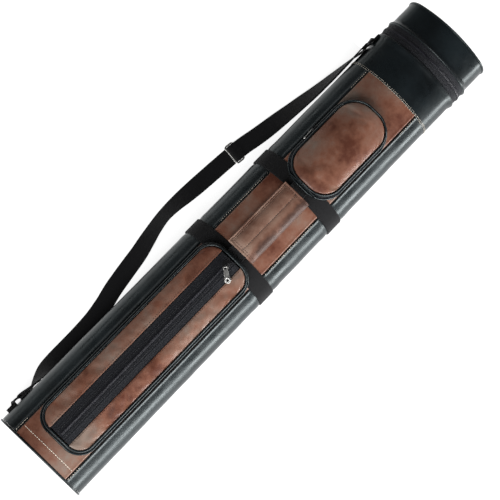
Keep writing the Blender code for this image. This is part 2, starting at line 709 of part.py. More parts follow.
def d_ring(name, ring):
    centre, _, bar, away = ring_frame(ring)
    bow = RING_DEPTH - RING_BOW_START
    points = [centre + bar * RING_HALF_WIDTH * t for t in (-0.5, 0.0, 0.5)]
    for i in range(11):
        turn = math.radians(90 - 18 * i)
        sideways = RING_HALF_WIDTH * math.sin(turn)
        points.append(centre + bar * sideways + away * (RING_BOW_START + bow * math.cos(turn)))
    corner = [centre + bar * RING_HALF_WIDTH * s + away * 0.0006 for s in (0.96, -0.96)]
    points.insert(3, corner[0])
    points.append(corner[1])
    wire_object(name, points, RING_WIRE, "black_metal", cyclic=True)


def ring_tab(name, ring):
    """A webbing loop round the ring's bar, sewn flat to the case's side."""
    centre, out, _, away = ring_frame(ring)
    eye = RING_WIRE + CLEARANCE
    skin = eye + STRAP_THICKNESS
    outline = []
    for i in range(9):
        turn = math.radians(-90 + 180 * i / 8)
        outline.append((skin * math.cos(turn), skin * math.sin(turn)))
    seam = -STRAP_THICKNESS / 2
    outline += [(-RING_TAB_SEAM, seam), (-RING_TAB_LENGTH, seam), (-RING_TAB_LENGTH, -skin)]
    obj = plate_object(name, [outline, circle((0, 0), eye, 12)], STRAP_WIDTH, "black_webbing")
    place(obj, centre, away, away.cross(out))


def rings():
    for place_name, ring in (("top", TOP_RING), ("bottom", BOTTOM_RING)):
        d_ring(f"d_ring_{place_name}", ring)
        ring_tab(f"ring_tab_{place_name}", ring)


body()
webbing_bands()
interior()
lid()
lid_zip()
lid_slider()
long_pocket()
small_pocket()
handle()
strap()
tri_glide()
rings()
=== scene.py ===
"""The looks of the cue case: vinyl skins, stitching, zips, padded pockets, webbing and metal.

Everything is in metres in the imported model's frame: the case lies on its flat back, +X points to
the lid, +Y to the side with the shoulder strap and +Z up through the pockets. s is a distance round
the case's cross-section from the middle of the crown, positive towards +Y.
"""

import bisect
from math import asin, cos, degrees, exp, pi, radians, sin, sqrt

import bpy
from mathutils import Matrix, Vector, noise
from mathutils.bvhtree import BVHTree


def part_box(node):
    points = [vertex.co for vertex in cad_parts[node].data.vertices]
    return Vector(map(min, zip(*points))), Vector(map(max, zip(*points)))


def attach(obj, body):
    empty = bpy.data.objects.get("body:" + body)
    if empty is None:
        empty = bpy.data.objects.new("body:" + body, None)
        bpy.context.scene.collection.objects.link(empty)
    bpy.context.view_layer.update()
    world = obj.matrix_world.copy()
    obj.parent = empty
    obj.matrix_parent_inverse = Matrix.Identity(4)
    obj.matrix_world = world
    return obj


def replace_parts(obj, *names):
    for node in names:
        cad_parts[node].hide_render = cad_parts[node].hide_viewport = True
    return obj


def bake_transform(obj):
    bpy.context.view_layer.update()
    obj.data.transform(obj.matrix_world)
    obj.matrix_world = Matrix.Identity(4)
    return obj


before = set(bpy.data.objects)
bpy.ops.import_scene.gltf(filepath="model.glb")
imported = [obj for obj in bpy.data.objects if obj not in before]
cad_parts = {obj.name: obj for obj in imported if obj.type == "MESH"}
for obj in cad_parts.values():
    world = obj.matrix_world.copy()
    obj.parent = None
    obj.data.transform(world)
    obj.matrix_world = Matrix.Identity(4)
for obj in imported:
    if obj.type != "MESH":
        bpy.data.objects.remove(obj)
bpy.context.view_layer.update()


def low(node):
    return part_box(node)[0]


def high(node):
    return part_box(node)[1]


# ---------------------------------------------------------------- sizes, from the frame
CROWN_Z = high("body_shell").z
BACK_Z = low("body_shell").z
HALF_WIDTH = high("body_shell").y
SIDE_Z = 0.0312
UPPER_RADIUS = 0.024
LOWER_RADIUS = SIDE_Z - BACK_Z
FLAT_Y = HALF_WIDTH - LOWER_RADIUS
UPPER_Y = HALF_WIDTH - UPPER_RADIUS
RISE = CROWN_Z - SIDE_Z
CROWN_RADIUS = (UPPER_Y**2 + RISE**2 - UPPER_RADIUS**2) / (2 * (RISE - UPPER_RADIUS))
CROWN_CENTRE_Z = CROWN_Z - CROWN_RADIUS
CROWN_TURN = asin(UPPER_Y / (CROWN_RADIUS - UPPER_RADIUS))

CROWN_ARC = CROWN_RADIUS * CROWN_TURN
UPPER_ARC = UPPER_RADIUS * (pi / 2 - CROWN_TURN)
LOWER_ARC = LOWER_RADIUS * pi / 2
HALF_ROUND = CROWN_ARC + UPPER_ARC + LOWER_ARC + FLAT_Y
ROUND = 2 * HALF_ROUND

SEAM_Y = 0.044
PANEL_S = CROWN_RADIUS * asin(SEAM_Y / CROWN_RADIUS)
BODY_X = low("body_shell").x
LID_END_X = high("lid_shell").x
YOKE_X = low("top_yoke").x
YOKE_END_X = 0.3392
LID_START_X = 0.3603
SPLIT_X = (high("body_shell").x + low("lid_shell").x) / 2
BODY_EDGE = SPLIT_X - 0.001
LID_EDGE = SPLIT_X + 0.001
BANDS = {name: (low(name).x, high(name).x) for name in ("webbing_band_lower", "webbing_band_upper")}

# How far the lid's zip goes round each side: its stitching, its teeth and its tape.
SIDE_ARC = CROWN_ARC + UPPER_ARC
ZIP_REACH = SIDE_ARC + LOWER_RADIUS * radians(84)
TEETH_REACH = SIDE_ARC + LOWER_RADIUS * radians(76)
TAPE_REACH = SIDE_ARC + LOWER_ARC + 0.0010

COVER = 0.0013
FOLD = 0.0004
BAND_FOOT = 0.0012
BAND_TOP = 0.0032
BACK_LIMIT = 0.0027
PIPE = 0.0015
GAP = 0.0003
UP = Vector((0, 0, 1))


def pocket(node, radius):
    """A pocket's x range, half width and corner radius."""
    return low(node).x, high(node).x, high(node).y, radius


LONG = pocket("long_pocket_gusset", 0.024)
SMALL = pocket("small_pocket_gusset", 0.033)
POCKET_HEIGHT = 0.0126
SMALL_SPLIT = 0.0080
SLOT = 0.0165

# Stitching: the length of a stitch, the gap after it and the thread's radius.
SEAM_THREAD = (0.0030, 0.0006, 0.00034)
BASE_THREAD = (0.0032, 0.0005, 0.00052)
YOKE_THREAD = (0.0030, 0.0008, 0.00022)
MOUTH_THREAD = (0.0026, 0.0010, 0.00022)
LID_ZIP_THREAD = (0.0024, 0.0009, 0.00020)
LONG_ZIP_THREAD = (0.0022, 0.0008, 0.00022)
PANEL_THREAD = (0.0026, 0.0010, 0.00024)
HANDLE_THREAD = (0.0026, 0.0010, 0.00026)
TAB_THREAD = (0.0022, 0.0006, 0.00030)

# Zip coils: the pitch of the teeth, how far each reaches and its radius.
LID_COIL = (0.00125, 0.0017, 0.00042)
LONG_COIL = (0.0014, 0.0021, 0.0005)
SMALL_COIL = (0.00125, 0.0011, 0.0003)


# ---------------------------------------------------------------- the case's cross-section
def section(s):
    """The point (y, z) and outward direction (y, z) at distance s round the section."""
    s = (s + HALF_ROUND) % ROUND - HALF_ROUND
    side = 1 if s >= 0 else -1
    s = abs(s)
    if s < CROWN_ARC:
        turn = pi / 2 - s / CROWN_RADIUS
        centre_y, centre_z, radius = 0.0, CROWN_CENTRE_Z, CROWN_RADIUS
    elif s < CROWN_ARC + UPPER_ARC:
        turn = pi / 2 - CROWN_TURN - (s - CROWN_ARC) / UPPER_RADIUS
        centre_y, centre_z, radius = UPPER_Y, SIDE_Z, UPPER_RADIUS
    elif s < CROWN_ARC + UPPER_ARC + LOWER_ARC:
        turn = -(s - CROWN_ARC - UPPER_ARC) / LOWER_RADIUS
        centre_y, centre_z, radius = FLAT_Y, SIDE_Z, LOWER_RADIUS
    else:
        return side * (HALF_ROUND - s), BACK_Z, 0.0, -1.0
    out_y, out_z = cos(turn), sin(turn)
    return side * (centre_y + radius * out_y), centre_z + radius * out_z, side * out_y, out_z


def on_case(x, s, height):
    y, z, out_y, out_z = section(s)
    return Vector((x, y + out_y * height, z + out_z * height))


def outward(s):
    return Vector((0, *section(s)[2:]))


def on_crown(x, y, height):
    """A point straight above the crown's curve."""
    return Vector((x, y, CROWN_CENTRE_Z + sqrt(CROWN_RADIUS**2 - y * y) + height))


# ---------------------------------------------------------------- small helpers
def ripple(a, b, scale, seed=0.0):
    """Smooth noise from about -1 to 1 over a pair of distances."""
    return noise.noise(Vector((a * scale, b * scale, seed)))


def hump(distance, centre, width):
    return exp(-(((distance - centre) / width) ** 2))


def ease(t):
    t = min(max(t, 0.0), 1.0)
    return t * t * (3 - 2 * t)


def end_ease(x, first, last, reach):
    return ease(min(x - first, last - x) / reach)


def spread(first, last, step):
    count = max(1, round(abs(last - first) / step))
    return [first + (last - first) * i / count for i in range(count + 1)]


EDGE_STEPS = (0.0, 0.0004, 0.0009, 0.0015, 0.0022, 0.0031, 0.0043)
EDGE_WIDTH = 0.006


def graded(first, last, step):
    """Values from first to last, close together at both ends where an edge is turned."""
    middle = spread(first + EDGE_WIDTH, last - EDGE_WIDTH, step)
    return [first + e for e in EDGE_STEPS] + middle + [last - e for e in reversed(EDGE_STEPS)]


def turned_edge(distance, height):
    """The rounded height of vinyl folded under, at a distance inside its edge."""
    return height * hump(distance, 0.0021, 0.0014) - 0.0012 * hump(distance, 0.0, 0.0006)


def past_bands(x):
    """The distance from the nearest webbing band, less than 0 under one."""
    return min(max(a - x, x - b) for a, b in BANDS.values())


def clear_of_bands(x):
    """0 under the webbing bands, rising to 1 within 4 mm of them."""
    return ease(past_bands(x) / 0.004)


def band_pinch(x):
    """How the skin is drawn in under a webbing band and swells beside it."""
    reach = past_bands(x)
    if reach < 0:
        return -0.0003
    return 0.00035 * hump(reach, 0.008, 0.005) - 0.0003 * hump(reach, 0.0, 0.003)


# ---------------------------------------------------------------- materials
FINISHES = {}


class Finish:
    """A procedural material in the making."""

    def __init__(self, name, **values):
        self.material = bpy.data.materials.new(name)
        self.material.use_nodes = True
        self.tree = self.material.node_tree
        self.shader = self.tree.nodes["Principled BSDF"]
        self.last_bump = None
        self.fill(self.shader, values)
        FINISHES[name] = self.material

    def feed(self, socket, value):
        """Links a node's output to a socket, or gives the socket a value."""
        if isinstance(value, bpy.types.NodeSocket):
            self.tree.links.new(value, socket)
        else:
            socket.default_value = value

    def fill(self, node, values):
        for key, value in values.items():
            self.feed(node.inputs[key.replace("_", " ")], value)

    def node(self, kind, settings=None, **values):
        """A new node's outputs."""
        made = self.tree.nodes.new("ShaderNode" + kind)
        for key, value in (settings or {}).items():
            setattr(made, key, value)
        self.fill(made, values)
        return made.outputs

    def combined(self, kind, operation, *values):
        """The result of a Math or VectorMath node."""
        made = self.tree.nodes.new("ShaderNode" + kind)
        made.operation = operation
        for socket, value in zip(made.inputs, values):
            self.feed(socket, value)
        return made.outputs[0]

    def noise(self, coords, scale, detail, roughness=0.5):
        return self.node("TexNoise", Vector=coords, Scale=scale, Detail=detail, Roughness=roughness)

    def mapped(self, value, source, target, kind="LINEAR"):
        """A value carried from one range to another."""
        ranges = {"From_Min": source[0], "From_Max": source[1], "To_Min": target[0], "To_Max": target[1]}
        return self.node("MapRange", {"interpolation_type": kind}, Value=value, **ranges)["Result"]

    def colour(self, factor, stops):
        node = self.tree.nodes.new("ShaderNodeValToRGB")
        elements = node.color_ramp.elements
        while len(elements) < len(stops):
            elements.new(0.5)
        for element, (place, colour) in zip(elements, stops):
            element.position = place
            element.color = (*colour, 1.0)
        self.feed(node.inputs["Fac"], factor)
        self.feed(self.shader.inputs["Base Color"], node.outputs["Color"])

    def gloss(self, coords, scale, lowest, highest):
        """Roughness that varies in patches."""
        cloud = self.noise(coords, scale, 4.0)["Fac"]
        self.feed(self.shader.inputs["Roughness"], self.mapped(cloud, (0.3, 0.7), (lowest, highest)))

    def bump(self, height, strength, distance):
        """Adds relief to the relief so far."""
        values = {"Height": height, "Strength": strength, "Distance": distance}
        if self.last_bump:
            values["Normal"] = self.last_bump
        self.last_bump = self.node("Bump", **values)["Normal"]
        self.feed(self.shader.inputs["Normal"], self.last_bump)


def shaded(colour, low_scale, high_scale):
    """A darker and a lighter tone of a colour."""
    return tuple(c * low_scale for c in colour), tuple(min(c * high_scale, 1.0) for c in colour)


def leather(name, stops, patch, rough, grain_depth, painted_shade_span=None, tint=(1.0, 1.0, 1.0)):
    """Embossed vinyl: cell grain, pores, faint creases and cloudy colour; painted shade darkens it across
    a span in y, over a roll.
    """
    finish = Finish(name, IOR=1.5, Specular_Tint=(*tint, 1))
    coords = finish.node("TexCoord")["Object"]
    cloud = finish.noise(coords, patch, 5.0, 0.55)["Fac"]
    fine = finish.noise(coords, patch * 9, 4.0, 0.6)["Fac"]
    shade = finish.combined("Math", "MULTIPLY_ADD", fine, 0.22, cloud)
    # Painted shade: the colour darkens smoothly across y over the given span.
    if painted_shade_span:
        across = finish.node("SeparateXYZ", Vector=coords)["Y"]
        painted_shade = finish.mapped(across, painted_shade_span, (0.0, -0.30), "SMOOTHSTEP")
        shade = finish.combined("Math", "ADD", shade, painted_shade)
    finish.colour(shade, stops)
    finish.gloss(coords, patch * 2.5, *rough)

    crease = finish.noise(coords, 130.0, 5.0, 0.62)
    warp = (0.0012, 0.0012, 0.0012)
    warped = finish.combined("VectorMath", "MULTIPLY_ADD", crease["Color"], warp, coords)
    cells = finish.node("TexVoronoi", {"feature": "SMOOTH_F1"}, Vector=warped, Scale=820.0)
    finish.bump(cells["Distance"], grain_depth, 0.0005)
    finish.bump(crease["Fac"], 0.10, 0.0012)


def woven(name, colour, rib, depth, rough=0.85, sheen=0.25):
    """Webbing or tape: ribs and yarns laid out by the weave map, whose unit is a metre."""
    sheens = {"Sheen_Weight": sheen, "Sheen_Roughness": 0.5, "Specular_IOR_Level": 0.25}
    finish = Finish(name, Roughness=rough, **sheens)
    coords = finish.node("UVMap", {"uv_map": "weave"})["UV"]
    uneven = {"Distortion": 0.6, "Detail": 1.0}
    ribs = finish.node("TexWave", {"bands_direction": "X"}, Vector=coords, Scale=pi / (10 * rib), **uneven)
    yarns = finish.node("TexWave", {"bands_direction": "Y"}, Vector=coords, Scale=pi / (7 * rib))
    weave = finish.combined("Math", "MULTIPLY", ribs["Fac"], yarns["Fac"])
    fuzz = finish.noise(coords, 2600.0, 2.0)["Fac"]
    dark, light = shaded(colour, 0.45, 1.7)
    # The colour follows the weave's relief, with painted shade in its hollows and a painted highlight on
    # its ribs. The fuzz is the yarn's own uneven tone.
    finish.colour(finish.combined("Math", "MULTIPLY_ADD", weave, 0.7, fuzz), ((0.3, dark), (1.0, light)))
    finish.bump(weave, depth, 0.0005)
    finish.bump(fuzz, 0.2, 0.0002)


def plain(name, colour, rough, grain=600.0, depth=0.15, metallic=0.0, contrast=0.25):
    """A finish with a fine grain, a little unevenness in its colour and varied gloss."""
    finish = Finish(name, Metallic=metallic)
    coords = finish.node("TexCoord")["Object"]
    dark, light = shaded(colour, 1 - contrast, 1 + contrast)
    finish.colour(finish.noise(coords, grain * 0.15, 4.0)["Fac"], ((0.3, dark), (0.7, light)))
    finish.gloss(coords, grain * 0.3, rough * 0.8, min(rough * 1.25, 1.0))
    finish.bump(finish.noise(coords, grain, 3.0)["Fac"], depth, 0.0002)


def all_finishes():
    black = ((0.40, (0.0030, 0.0042, 0.0052)), (0.72, (0.0100, 0.0145, 0.0170)))
    brown = (
        (0.44, (0.110, 0.034, 0.019)),
        (0.56, (0.210, 0.086, 0.053)),
        (0.67, (0.245, 0.132, 0.094)),
        (0.79, (0.245, 0.180, 0.145)),
    )
    # The handle's browns. The darkest stops are reached only where painted shade darkens its roll.
    worn_brown_and_painted_shade = (
        (0.22, (0.060, 0.022, 0.012)),
        (0.42, (0.180, 0.082, 0.052)),
        (0.56, (0.270, 0.150, 0.106)),
        (0.74, (0.340, 0.225, 0.168)),
    )
    leather("black_vinyl", black, 16.0, (0.24, 0.38), 0.06, tint=(0.90, 0.99, 1.0))
    leather("brown_vinyl", brown, 15.0, (0.30, 0.44), 0.20)
    # Painted shade darkens the handle's colour towards its right-hand roll, towards -y.
    leather("handle_vinyl", worn_brown_and_painted_shade, 20.0, (0.44, 0.58), 0.25, painted_shade_span=(-0.0060, -0.0190))
    woven("webbing", (0.0052, 0.0052, 0.0060), 0.0016, 0.55, sheen=0.08)
    woven("zip_tape", (0.0090, 0.0100, 0.0140), 0.0008, 0.60, rough=0.7, sheen=0.1)
    woven("lining", (0.0140, 0.0140, 0.0155), 0.0009, 0.25, rough=0.95, sheen=0.6)
    plain("zip_teeth", (0.014, 0.014, 0.020), 0.38)
    plain("cream_thread", (0.800, 0.720, 0.610), 0.65, grain=2500.0, depth=0.4)
    plain("brown_thread", (0.070, 0.030, 0.020), 0.60, grain=2500.0, depth=0.4)
    plain("black_thread", (0.018, 0.018, 0.020), 0.50, grain=2500.0, depth=0.4)
    plain("silver_metal", (0.640, 0.635, 0.610), 0.34, metallic=1.0, depth=0.02, contrast=0.08)
    plain("black_metal", (0.022, 0.022, 0.024), 0.34, metallic=0.6, depth=0.03)
    plain("shell_board", (0.090, 0.075, 0.060), 0.80, depth=0.4)
    plain("tube_plastic", (0.022, 0.022, 0.024), 0.42, grain=300.0, depth=0.08)
    plain("foam", (0.030, 0.030, 0.032), 0.95, grain=1500.0, depth=0.7)


# ---------------------------------------------------------------- piece makers
def placed(name, data):
    """A new object in the scene."""
    obj = bpy.data.objects.new(name, data)
    bpy.context.scene.collection.objects.link(obj)
    return obj


def piece(name, vertices, faces, finish, body="case_body", replaces=(), uvs=None, smooth=60):
    """A mesh piece that rides on a body and stands for the given nodes."""
    mesh = bpy.data.meshes.new(name)
    mesh.from_pydata([tuple(v) for v in vertices], [], faces)
    if uvs:
        layer = mesh.uv_layers.new(name="weave")
        indices = [0] * len(mesh.loops)
        mesh.loops.foreach_get("vertex_index", indices)
        layer.data.foreach_set("uv", [c for i in indices for c in uvs[i]])
    mesh.materials.append(FINISHES[finish])
    mesh.shade_smooth()
    mesh.set_sharp_from_angle(angle=radians(smooth))
    obj = placed(name, mesh)
    if replaces:
        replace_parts(obj, *replaces)
    if body:
        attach(obj, body)
    return obj


def solidify(obj, thickness, offset=-1.0):
    thick = obj.modifiers.new("thickness", "SOLIDIFY")
    thick.thickness = thickness
    thick.offset = offset
    return obj


def rounded(obj):
    smooth = obj.modifiers.new("rounding", "SUBSURF")
    smooth.levels = 1
    smooth.render_levels = 1
    return obj


def applied(obj):
    """The piece with its modifiers made real."""
    graph = bpy.context.evaluated_depsgraph_get()
    mesh = bpy.data.meshes.new_from_object(obj.evaluated_get(graph))
    obj.modifiers.clear()
    obj.data = mesh
    return obj


def grid_faces(rows, columns, closed_rows=False, closed_columns=False, flip=False):
    faces = []
    for i in range(rows if closed_rows else rows - 1):
        for j in range(columns if closed_columns else columns - 1):
            below = (i + 1) % rows * columns
            right = (j + 1) % columns
            face = (i * columns + j, below + j, below + right, i * columns + right)
            faces.append(face[::-1] if flip else face)
    return faces


def end_faces(rows, columns):
    """The faces that close the two ends of a tube of rings."""
    last = (rows - 1) * columns
    return [tuple(range(columns)), tuple(last + k for k in reversed(range(columns)))]


def grid(name, xs, ss, point, finish, body="case_body", replaces=()):
    """A sheet over two lists of distances; point(x, s) gives each corner. Its weave map is (x, s)."""
    uvs = [(x, s) for x in xs for s in ss]
    vertices = [point(x, s) for x, s in uvs]
    return piece(name, vertices, grid_faces(len(xs), len(ss)), finish, body, replaces, uvs)


def circle(radius, sides, squash=1.0):
    turns = [2 * pi * i / sides for i in range(sides)]
    return [(radius * cos(t), radius * squash * sin(t)) for t in turns]


def directions(points, closed=False):
    """The direction of travel at each point of a path."""
    count = len(points)
    found = []
    for i in range(count):
        before = points[(i - 1) % count] if closed else points[max(i - 1, 0)]
        after = points[(i + 1) % count] if closed else points[min(i + 1, count - 1)]
        found.append((after - before).normalized())
    return found


def sweep_mesh(path, ups, profile, closed=False):
    """Vertices and faces of a profile carried along a path, with its b axis near the given ups.

    ups is one direction or one for each point. profile is a list of (a, b) offsets, or a function
    of the point's number that gives one."""
    if isinstance(ups, Vector):
        ups = [ups] * len(path)
    vertices = []
    count = 0
    for i, (point, tangent) in enumerate(zip(path, directions(path, closed))):
        side = tangent.cross(ups[i]).normalized()
        up = side.cross(tangent)
        ring = profile(i) if callable(profile) else profile
        count = len(ring)
        vertices += [point + side * a + up * b for a, b in ring]
    faces = grid_faces(len(path), count, closed, True)
    if not closed:
        faces += end_faces(len(path), count)
    return vertices, faces


def joined(parts):
    """Several (vertices, faces) as one."""
    vertices, faces = [], []
    for some_vertices, some_faces in parts:
        start = len(vertices)
        vertices += some_vertices
        faces += [tuple(start + k for k in face) for face in some_faces]
    return vertices, faces


class Path:
    """A line of points with outward directions, one for all or one each, read by distance along it."""

    def __init__(self, points, outs, closed=False):
        outs = [outs] * len(points) if isinstance(outs, Vector) else outs
        self.points = list(points) + ([points[0]] if closed else [])
        self.outs = list(outs) + ([outs[0]] if closed else [])
        self.marks = [0.0]
        for a, b in zip(self.points, self.points[1:]):
            self.marks.append(self.marks[-1] + (b - a).length)
        self.length = self.marks[-1]

    def at(self, distance):
        """The point, the direction of travel and the outward direction at a distance."""
        distance = min(max(distance, 0.0), self.length)
        i = min(max(bisect.bisect_right(self.marks, distance) - 1, 0), len(self.points) - 2)
        start, end = self.points[i : i + 2]
        t = (distance - self.marks[i]) / max(self.marks[i + 1] - self.marks[i], 1e-9)
        out = self.outs[i].lerp(self.outs[i + 1], t).normalized()
        return start.lerp(end, t), (end - start).normalized(), out


def stitches(name, paths, finish, thread, body="case_body"):
    """Lockstitch along paths: each stitch is a short thread that dips into the cloth at both ends."""
    length, gap, radius = thread
    parts = []
    for path in paths:
        count = max(1, round(path.length / (length + gap)))
        pitch = path.length / count
        for k in range(count):
            start = k * pitch + gap / 2
            line, ups, sizes = [], [], []
            for j in range(5):
                point, _, out = path.at(start + (pitch - gap) * j / 4)
                arch = sin(pi * j / 4)
                line.append(point + out * radius * (arch - 0.35))
                ups.append(out)
                sizes.append(radius * (0.55 + 0.45 * arch))
            parts.append(sweep_mesh(line, ups, lambda i, sizes=sizes: circle(sizes[i], 6)))
    return piece(name, *joined(parts), finish, body)


def piping(name, path, body, replaces, seed):
    """Covered cord in a closed ring, with faint wrinkles in its cover."""
    steps = round(path.length / 0.0012)
    points, ups, sizes = [], [], []
    for i in range(steps):
        distance = path.length * i / steps
        point, _, out = path.at(distance)
        points.append(point)
        ups.append(out)
        wrinkle = 0.035 * ripple(distance, seed, 240) + 0.02 * ripple(distance, seed, 900)
        sizes.append(PIPE * (1 + wrinkle))
    cord = sweep_mesh(points, ups, lambda i: circle(sizes[i], 12), closed=True)
    return piece(name, *cord, "black_vinyl", body, replaces)


def on_panel(obj, spots):
    """A path just over a simulated panel, dropped onto it from points (x, y)."""
    tree = BVHTree.FromObject(obj, bpy.context.evaluated_depsgraph_get())
    points, outs = [], []
    for x, y in spots:
        place, normal, _, _ = tree.ray_cast(Vector((x, y, 0.2)), -UP)
        points.append(place + normal * 0.00005)
        outs.append(normal if normal.z > 0 else -normal)
    return Path(points, outs)


def curve_through(rows, steps):
    """More rows of numbers on a smooth curve through the given rows."""
    padded = [rows[0], *rows, rows[-1]]
    found = []
    for i in range(len(rows) - 1):
        for step in range(steps):
            t = step / steps
            row = []
            for a, b, c, d in zip(*padded[i : i + 4]):
                square = 2 * a - 5 * b + 4 * c - d
                cube = 3 * b - a - 3 * c + d
                row.append(0.5 * (2 * b + (c - a) * t + square * t**2 + cube * t**3))
            found.append(row)
    return [*found, list(rows[-1])]


def rounded_outline(x0, x1, half_width, radius, step):
    """Points (x, y) and outward directions round a rounded rectangle, about a step apart."""
    straight_x, straight_y = x1 - x0 - 2 * radius, 2 * (half_width - radius)
    corners = (
        (x1 - radius, half_width - radius, 0, straight_x),
        (x0 + radius, half_width - radius, 90, straight_y),
        (x0 + radius, radius - half_width, 180, straight_x),
        (x1 - radius, radius - half_width, 270, straight_y),
    )
    found = []
    for centre_x, centre_y, first, side in corners:
        for angle in spread(first, first + 90, degrees(step / radius)):
            out_x, out_y = cos(radians(angle)), sin(radians(angle))
            found.append((centre_x + radius * out_x, centre_y + radius * out_y, out_x, out_y))
        x, y, out_x, out_y = found[-1]
        for distance in spread(0, side, step)[1:-1]:
            found.append((x - out_y * distance, y + out_x * distance, out_x, out_y))
    return found


def filled(outlines, thickness, bevel, steps):
    """Vertices and faces of a bevelled plate with holes: its outline (u, v), then its holes'."""
    curve = bpy.data.curves.new("outline", "CURVE")
    curve.dimensions = "2D"
    curve.fill_mode = "BOTH"
    curve.extrude = thickness / 2 - bevel
    curve.bevel_depth = bevel
    curve.bevel_resolution = steps
    curve.offset = -bevel
    for loop in outlines:
        spline = curve.splines.new("POLY")
        spline.points.add(len(loop) - 1)
        for target, (u, v) in zip(spline.points, loop):
            target.co = (u, v, 0.0, 1.0)
        spline.use_cyclic_u = True
    holder = bpy.data.objects.new("outline", curve)
    mesh = bpy.data.meshes.new_from_object(holder)
    found = [v.co.copy() for v in mesh.vertices], [tuple(p.vertices) for p in mesh.polygons]
    bpy.data.objects.remove(holder)
    bpy.data.curves.remove(curve)
    bpy.data.meshes.remove(mesh)
    return found


def stood(part, origin, along, normal):
    """A part with its x axis along and its z axis out."""
    x_axis = Vector(along).normalized()
    z_axis = Vector(normal).normalized()
    turn = Matrix((x_axis, z_axis.cross(x_axis), z_axis)).transposed()
    return [Vector(origin) + turn @ v for v in part[0]], part[1]


# ---------------------------------------------------------------- camera, floor and light
CAMERA_PLACE = (-0.4127, -0.0193, 1.9694)
CAMERA_FORWARD = (0.2023, 0.0052, -0.9793)
CAMERA_UP = (0.7037, 0.6946, 0.1491)
CAMERA_LENS = 104.8
TABLE_END_X = SPLIT_X - 0.032
LOWER_FLOOR_Z = -0.14
FLOOR_REACH = 40
CASE_MIDDLE = (0, 0, 0.05)
# Name, place, what it points at, size and power.
SOFTBOXES = (
    ("right_softbox", (0.1, -1.5, 0.42), CASE_MIDDLE, (2.6, 0.46), 52),
    ("left_softbox", (-0.1, 1.6, 0.55), CASE_MIDDLE, (2.4, 0.30), 3),
    ("front_softbox", (-1.7, -0.4, 1.8), (0, 0, 0), (1.2, 1.2), 38),
)


def camera():
    data = bpy.data.cameras.new("camera")
    data.sensor_width = 36.0
    data.lens = CAMERA_LENS
    forward = Vector(CAMERA_FORWARD).normalized()
    right = forward.cross(Vector(CAMERA_UP)).normalized()
    turn = Matrix((right, right.cross(forward), -forward)).transposed()
    obj = placed("camera", data)
    obj.matrix_world = Matrix.Translation(CAMERA_PLACE) @ turn.to_4x4()
    bpy.context.scene.camera = obj


def softbox(name, place, target, size, power):
    data = bpy.data.lights.new(name, "AREA")
    data.shape = "RECTANGLE"
    data.size, data.size_y = size
    data.energy = power
    turn = (Vector(target) - Vector(place)).to_track_quat("-Z", "Z").to_matrix()
    placed(name, data).matrix_world = Matrix.Translation(place) @ turn.to_4x4()


def floor_slab(name, end_x, top):
    """A pale floor, a little luminous so that it stays bright round the case."""
    white = (1, 1, 1, 1)
    base = (0.45, 0.45, 0.45, 1)
    finish = Finish(name, Roughness=0.9, Base_Color=base, Emission_Color=white, Emission_Strength=0.85)
    mesh = bpy.data.meshes.new(name)
    reach = (-FLOOR_REACH, FLOOR_REACH)
    corners = [(x, y, z) for z in (top - 0.01, top) for x in (-FLOOR_REACH, end_x) for y in reach]
    faces = [(0, 1, 3, 2), (4, 6, 7, 5), (0, 4, 5, 1), (2, 3, 7, 6), (0, 2, 6, 4), (1, 5, 7, 3)]
    mesh.from_pydata(corners, [], faces)
    mesh.materials.append(finish.material)
    placed(name, mesh)


def studio():
    """A table that the case lies on, its lid past the table's edge, over a lower floor."""
    floor_slab("table_top", TABLE_END_X, 0.0)
    floor_slab("lower_floor", FLOOR_REACH, LOWER_FLOOR_Z)
    world = bpy.data.worlds.new("studio")
    world.use_nodes = True
    world.node_tree.nodes["Background"].inputs["Color"].default_value = (1.0, 1.0, 1.0, 1)
    world.node_tree.nodes["Background"].inputs["Strength"].default_value = 0.06
    bpy.context.scene.world = world
    for row in SOFTBOXES:
        softbox(*row)
    bpy.context.scene.view_settings.view_transform = "Standard"
    bpy.context.scene.view_settings.look = "None"


# ---------------------------------------------------------------- shoulder strap
STRAP_HALF = 0.0125
STRAP_THICKNESS = 0.0012
STRAP_PITCH = 0.0015
STRAP_LOW_X, STRAP_HIGH_X = -0.3300, 0.2440
RING_WIRE = 0.0015
RING_HALF = 0.0142
RING_DEPTH = 0.0135
RING_BEND = 0.0026
BOW_START = 0.0045
RING_OFFSET = 0.0046
# Each ring's x, its turn round the case's side in degrees and the way that its bow points.
RING_ANGLES = {"top": (0.3225, 0.0, -1), "bottom": (-0.3795, -18.0, 1)}
TAB_LENGTH = 0.0128
GLIDE = Vector((0.0776, 0.1006, 0.0027))
GLIDE_LEAN = Vector((1, -0.105, 0)).normalized()
GLIDE_LONG, GLIDE_WIDE, GLIDE_CORNER = 0.0064, 0.0143, 0.0030

